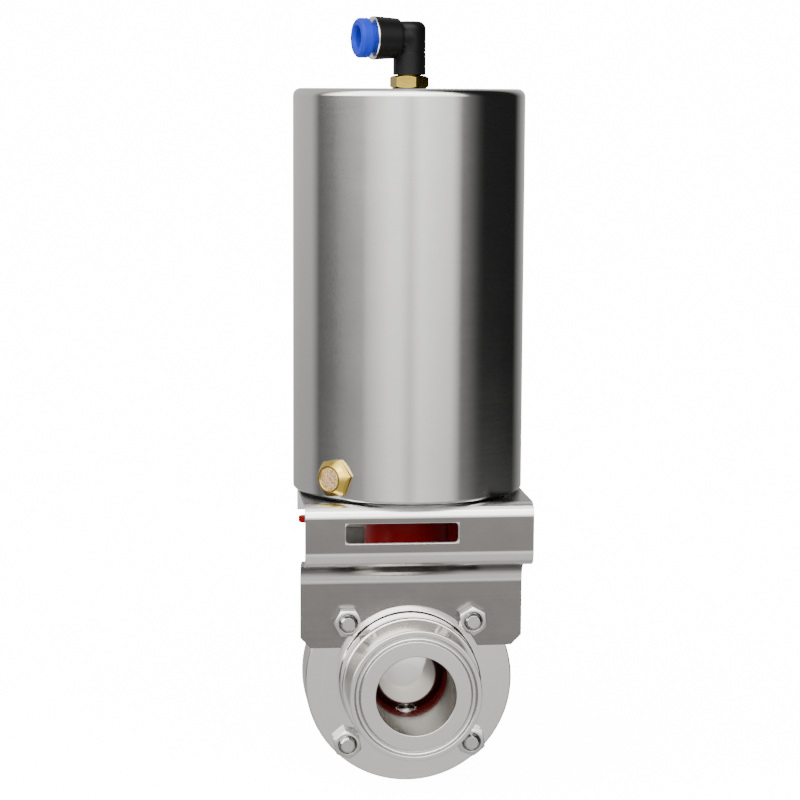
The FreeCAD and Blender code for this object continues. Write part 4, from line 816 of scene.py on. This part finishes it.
def bracket(side, width, shift=0.0):
    """One bent sheet: a leg on the flange, a sloping shelf, the upright plate and the top."""
    sign = -1 if side == "front" else 1
    slope = math.tan(math.radians(SHELF_SLOPE))
    lift = SHEET_T / math.cos(math.radians(SHELF_SLOPE))
    inside_y, inside_top, leg_back = BRACKET_Y - SHEET_T, BRACKET_TOP - SHEET_T, LEG_Y - SHEET_T
    corner = SHELF_Z + (BRACKET_Y - LEG_Y) * slope
    inner = SHELF_Z + (inside_y - LEG_Y) * slope + lift
    back = SHELF_Z - SHEET_T * slope + lift
    outline = rounded([
        (LEG_Y, LEG_LOW, 0), (LEG_Y, SHELF_Z, 7.6), (BRACKET_Y, corner, 5.2),
        (BRACKET_Y, BRACKET_TOP, 5.2), (0, BRACKET_TOP, 0), (0, inside_top, 0),
        (inside_y, inside_top, 3.2), (inside_y, inner, 3.2), (leg_back, back, 9.6),
        (leg_back, LEG_LOW, 0)], 12)
    outline = [(sign * y, z) for y, z in outline]
    lay = Matrix(((0, 0, 1, 0), (1, 0, 0, 0), (0, 1, 0, 0), (0, 0, 0, 1)))
    mesh = prism(side, outline, shift - width / 2, shift + width / 2, lay)
    face = FRONT if side == "front" else REAR
    cutters = [round_bar(29.8, 9, 14, face, 192), round_bar(TOP_HOLE_R, 70, 76, None, 96)]
    for x in (-HOLE_AT, HOLE_AT):
        place = face @ Matrix.Translation((x * MM, HOLE_AT * MM, 0))
        cutters.append(round_bar(HOLE_R, 9, 14, place, 48))
    for x in (-SCREW_AT, SCREW_AT):
        place = Matrix.Translation((x * MM, sign * SCREW_AT * MM, 0))
        cutters.append(round_bar(HOLE_R, 70, 76, place, 48))
    for x in (-1, 1):
        edge = shift + x * width / 2
        if side == "front":
            chamfer = [(edge + x, 12.6), (edge - x * 5, 12.6), (edge + x, 18.6)]
        else:
            chamfer = [(x * 34, 12.6), (x * 28, 12.6), (x * 34, 18.6)]
            shoulder = [(x * 33, 10), (x * 42, 10), (x * 42, 59), (x * 33, 59)]
            cutters.append(prism("shoulder", shoulder, 5, 45, face))
        cutters.append(prism("corner", chamfer, 9, 14, face))
    if side == "front":
        cutters.append(prism("window", window_outline(), 36, 42, face))
    return bevelled(cut_with(mesh, cutters), 0.28, 2, 50)


add_object("front_bracket_bent", bracket("front", 86.0, 0.7), M["sheet"], "housing",
           ["front_bracket"])
add_object("rear_bracket_bent", bracket("rear", 80.6), M["sheet"], "housing", ["rear_bracket"])


# Bolts, nuts, screws
def fastener_frame(x, z, tilt):
    base = Matrix.Translation((x * MM, 0, z * MM)) @ Matrix.Rotation(math.radians(tilt), 4, "Y")
    return base @ FRONT @ HEX_TURN


# Places of each pair, with the turns of the bolt and of its nut in degrees
PAIRS = {
    "upper": [(-BOLT_AT, BOLT_AT, 5, 0), (BOLT_AT, BOLT_AT, 24, 28)],
    "lower": [(-BOLT_AT, -BOLT_AT, 40, 20), (BOLT_AT, -BOLT_AT, 12, 20)],
}
for level, grip in (("upper", LEG_Y), ("lower", FLANGE_Y)):
    bolts, nuts = [], []
    for x, z, bolt_tilt, nut_tilt in PAIRS[level]:
        place = fastener_frame(x, z, bolt_tilt)
        bolts.append(threaded_bar("thread", BOLT_R, THREAD_PITCH, -grip + 6, grip + 6.2, place))
        bolts.append(round_bar(BOLT_R, -grip, -grip + 6.2, place, 48))
        bolts.append(hexagon_block("head", BOLT_FLATS, -grip - BOLT_HEAD_T, -grip, 0, place,
                                   (True, False)))
        nuts.append(hexagon_block("nut", BOLT_FLATS, grip, grip + NUT_T, BOLT_R,
                                  fastener_frame(x, z, nut_tilt), (True, True), NUT_SINK))
    add_object(level + "_bolts_threaded", joined(level + "_bolts", bolts), M["fastener"],
               "housing", [level + "_body_bolts"])
    add_object(level + "_nuts_chamfered", joined(level + "_nuts", nuts), M["fastener"],
               "housing", [level + "_body_nuts"])

screws = []
for x in (-SCREW_AT, SCREW_AT):
    for y in (-SCREW_AT, SCREW_AT):
        place = Matrix.Translation((x * MM, y * MM, 0))
        head = lathe("head", rounded([
            (0, 66.3, 0), (5, 66.3, 0.6), (5, 72.3, 0.1), (BOLT_R, 72.3, 0), (BOLT_R, 81.3, 0.5),
            (0, 81.3, 0)]), place, 64)
        key = hexagon_block("key", 5, 65, 69.3, 0, place, (False, False))
        screws.append(cut_with(head, [key]))
add_object("bracket_screws_socket", joined("bracket_screws", screws), M["fastener"], "housing",
           ["bracket_screws"])


# Coupling and indicator
coupling = lathe("coupling", rounded([(2.5, 48, 0), (12, 48, 0.6), (12, 71, 0.6), (2.5, 71, 0)]),
                 None, 128)
coupling = cut_with(coupling, [prism("low", square(3.5), 47, 57), prism("high", square(5.5), 58, 72)])
add_object("coupling_turned", coupling, M["fastener"], "rotor", ["coupling"])

hub = lathe("hub", rounded([(12, 50, 0), (16.5, 50, 0.7), (16.5, 64.5, 0.7), (12, 64.5, 0.3)]),
            None, 160)
pointer = bevelled(prism("pointer", [(-13.5, 5), (-13.5, -5), (-40.7, -2.5), (-42.2, -1.0),
                                     (-42.2, 1.0), (-40.7, 2.5)], 61, 63.5), 0.3, 2)
tail = bevelled(prism("tail", [(13.5, -5), (20, -5), (21.5, -3.5), (21.5, 3.5), (20, 5), (13.5, 5)],
                      50, 64.5), 0.4, 2)
add_object("indicator_moulded", joined("indicator", [hub, pointer, tail]), M["indicator"], "rotor",
           ["indicator"])


# Cylinder
can = lathe("can", rounded([
    (CAN_BORE_R, CAN_LOW, 0.2), (CAN_R, CAN_LOW, 1.7), (CAN_R, CAN_TOP, 3.0), (PORT_R, CAN_TOP, 0),
    (PORT_R, CAN_END, 0), (CAN_BORE_R, CAN_END, 0.8), (CAN_BORE_R, 78.5, 0), (CAN_GROOVE_R, 78.5, 0),
    (CAN_GROOVE_R, 76.9, 0), (CAN_BORE_R, 76.9, 0)], 8), None, 256)
can = cut_with(can, [round_bar(PORT_R, 40, 47, BREATHER, 64)])
add_object("cylinder_drawn", can, M["can"], "housing", ["actuator_cylinder"])


# Breather silencer
silencer = [
    hexagon_block("hex", PORT_FLATS, CAN_R, 48.1, PLUG_R,
                  BREATHER @ Matrix.Rotation(math.radians(38), 4, "Z"), (False, True), 0.15, (5.1, 48)),
    threaded_bar("thread", PORT_R, THREAD_PITCH, 35.3, 44.4, BREATHER),
]
add_object("silencer_turned", joined("silencer", silencer), M["brass"], "housing",
           ["breather_silencer"])
plug = lathe("plug", rounded([(0, 45.8, 0), (PLUG_R, 45.8, 0), (PLUG_R, 47.8, 0.2), (0, 47.8, 0)]),
             BREATHER, 64)
add_object("silencer_grains", plug, M["sintered"], "housing", ["silencer_plug"])


# Elbow fitting
stud_turn = Matrix.Rotation(math.radians(-16.5), 4, "Z")
stud = [
    hexagon_block("hex", PORT_FLATS, CAN_TOP, 232.8, STUD_AIR_R, stud_turn @ HEX_TURN,
                  (True, True), 0.0),
    threaded_bar("thread", PORT_R, THREAD_PITCH, 222.0, 228.1),
    lathe("spigot", [(STUD_AIR_R, 232.7), (4.5, 232.7), (4.5, 240.3), (STUD_AIR_R, 240.3)], None, 64),
]
add_object("elbow_stud_turned", joined("elbow_stud", stud), M["stud"], "housing", ["elbow_stud"])

upright = lathe("upright", rounded([
    (0, 233.0, 0), (ELBOW_R, 233.0, 0.4), (ELBOW_R, 241.3, 0.1), (6.0, 241.5, 0.1),
    (6.0, 241.8, 0.1), (ELBOW_R, 242.0, 0.1), (ELBOW_R, 253.3, 4.0), (0, 253.3, 0)], 8), None, 128)
socket = lathe("socket", rounded([
    (0, 0, 0), (ELBOW_R, 0, 0), (ELBOW_R, 4.9, 0.5), (7.5, 4.9, 0.6), (7.62, 6.4, 0.5),
    (8.22, SOCKET_END_X, 0.2), (0, SOCKET_END_X, 0)], 5), SOCKET, 128)
inside = lathe("inside", [
    (0, 0), (AIR_R, 0), (AIR_R, 6), (TUBE_R, 6), (TUBE_R, 7.1), (6.0, 7.1), (6.0, RING_SEAT_X),
    (RING_SEAT_R, RING_SEAT_X), (RING_SEAT_R, 16.5), (0, 16.5)], SOCKET, 96)
elbow = cut_with(cut_with(upright, [socket], "UNION"),
                 [inside, round_bar(4.55, 232, 240.8), round_bar(AIR_R, 240, SOCKET_Z)])
add_object("elbow_moulded", elbow, M["black"], "elbow", ["elbow"])
mouth = lathe("mouth_ring", rounded([
    (5.4, RING_SEAT_X, 0), (RING_SEAT_R, RING_SEAT_X, 0), (RING_SEAT_R, SOCKET_END_X, 0),
    (8.1, SOCKET_END_X, 0.1), (8.1, 15.4, 0.2), (5.4, 15.4, 0.3)]), SOCKET, 128)
add_object("mouth_ring_turned", mouth, M["chrome"], "elbow", ["mouth_ring"])
release = lathe("release", rounded([
    (TUBE_R, 12.0, 0), (5.35, 12.0, 0.2), (5.35, 17.1, 0.2), (7.5, 17.1, 0.5), (7.5, 20.6, 0.6),
    (6.6, 21.5, 0.5), (4.7, 21.5, 0.5), (TUBE_R, 20.3, 0.4)]), SOCKET, 128)
add_object("release_ring_moulded", release, M["blue"], "tube_release", ["tube_release_ring"])


# Stage and light
def add_stage():
    floor = bpy.data.meshes.new("floor")
    corners = [(x, y, FLOOR_Z) for x, y in square(3)]
    floor.from_pydata(corners, [], [(0, 1, 2, 3)])
    shader = Shader("studio_floor", (0.93, 0.93, 0.93), roughness=0.6,
                    Emission_Color=(1, 1, 1, 1), Emission_Strength=FLOOR_GLOW)
    piece = bpy.data.objects.new("floor", floor)
    floor.materials.append(shader.mat)
    bpy.context.scene.collection.objects.link(piece)
    piece.visible_glossy = False
    piece.visible_diffuse = False


add_stage()


def area_light(name, place, target, width, height, power):
    data = bpy.data.lights.new(name, "AREA")
    data.shape = "RECTANGLE"
    data.size, data.size_y = width, height
    data.energy = power
    lamp = bpy.data.objects.new(name, data)
    lamp.location = place
    lamp.rotation_euler = (Vector(target) - Vector(place)).to_track_quat("-Z", "Y").to_euler()
    bpy.context.scene.collection.objects.link(lamp)


def ramp(tree, value, start, end, stops):
    """A level that follows value between stops, each (place, level) with place from start to end."""
    made = tree.node("ValToRGB")
    tree.link(tree.remap(value, 0.0, 1.0, start, end), made.inputs["Fac"])
    top = max(level for place, level in stops)
    scale = made.color_ramp
    scale.elements.remove(scale.elements[-1])
    for number, (place, level) in enumerate(stops):
        share = (place - start) / (end - start)
        spot = scale.elements[0] if number == 0 else scale.elements.new(share)
        spot.position = share
        spot.color = (level / top, level / top, level / top, 1)
    return tree.math("MULTIPLY", made.outputs["Color"], top)


def studio_world():
    """A wide soft light in front, a large one overhead, a dark wall to the right, a dark ground."""
    world = bpy.data.worlds.new("studio")
    bpy.context.scene.world = world
    world.use_nodes = True
    tree = Nodes(world.node_tree)
    background = world.node_tree.nodes["Background"]
    spot = tree.node("TexCoord")
    split = tree.node("SeparateXYZ")
    tree.link(spot.outputs["Generated"], split.inputs[0])
    x, y, z = split.outputs
    yaw = math.radians(YAW)
    right = tree.math("SUBTRACT", tree.math("MULTIPLY", x, math.cos(yaw)),
                      tree.math("MULTIPLY", y, math.sin(yaw)))
    near = tree.math("SUBTRACT", tree.math("MULTIPLY", x, -math.sin(yaw)),
                     tree.math("MULTIPLY", y, math.cos(yaw)))
    degrees = tree.math("MULTIPLY", tree.math("ARCTAN2", right, near), 180 / math.pi)
    walls = ramp(tree, degrees, -180, 180, [
        (-180, 0.8), (-112, 0.75), (-99, 0.18), (-80, 0.22), (-46, 0.6), (-40, 1.05), (-18, 2.1),
        (-8, 2.1), (2, 1.35), (12, 2.15), (43, 1.6), (54, 0.27), (62, 0.2), (74, 0.05), (80, 0.02),
        (130, 0.02), (165, 0.75), (180, 0.8)])
    fall = ramp(tree, z, -1, 1, [(-1, 0.4), (-0.3, 0.45), (-0.13, 0.68), (0.0, 1.0), (1, 1.0)])
    level = tree.math("MULTIPLY", walls, fall)
    down = tree.remap(z, 0.0, 1.0, -0.16, -0.3)
    ground = tree.math("ADD", GROUND, tree.math("MULTIPLY", walls, 0.2))
    level = tree.math("ADD", level, tree.math("MULTIPLY", down, tree.math("SUBTRACT", ground, level)))
    panel = ramp(tree, degrees, -180, 180, [
        (-180, 0.0), (-100, 0.0), (-70, 1.0), (12, 1.0), (30, 0.55), (55, 0.3), (62, 0.0), (180, 0.0)])
    over = tree.math("MULTIPLY", panel, tree.math(
        "MULTIPLY", tree.remap(z, 0.0, 1.0, 0.07, 0.2), tree.remap(z, 1.0, 0.12, 0.85, 1.0)))
    level = tree.math("ADD", level, tree.math("MULTIPLY", over, tree.math("SUBTRACT", OVERHEAD, level)))
    path = tree.node("LightPath")
    seen = tree.math("MULTIPLY", path.outputs["Is Camera Ray"], tree.math("SUBTRACT", BACKDROP, level))
    tree.link(tree.math("ADD", level, seen), background.inputs["Strength"])
    background.inputs["Color"].default_value = (1.0, 0.995, 0.985, 1)


studio_world()
area_light("strip", (0.10, -0.95, 1.15), (0, 0, 0.1), 1.4, 0.3, STRIP_POWER)
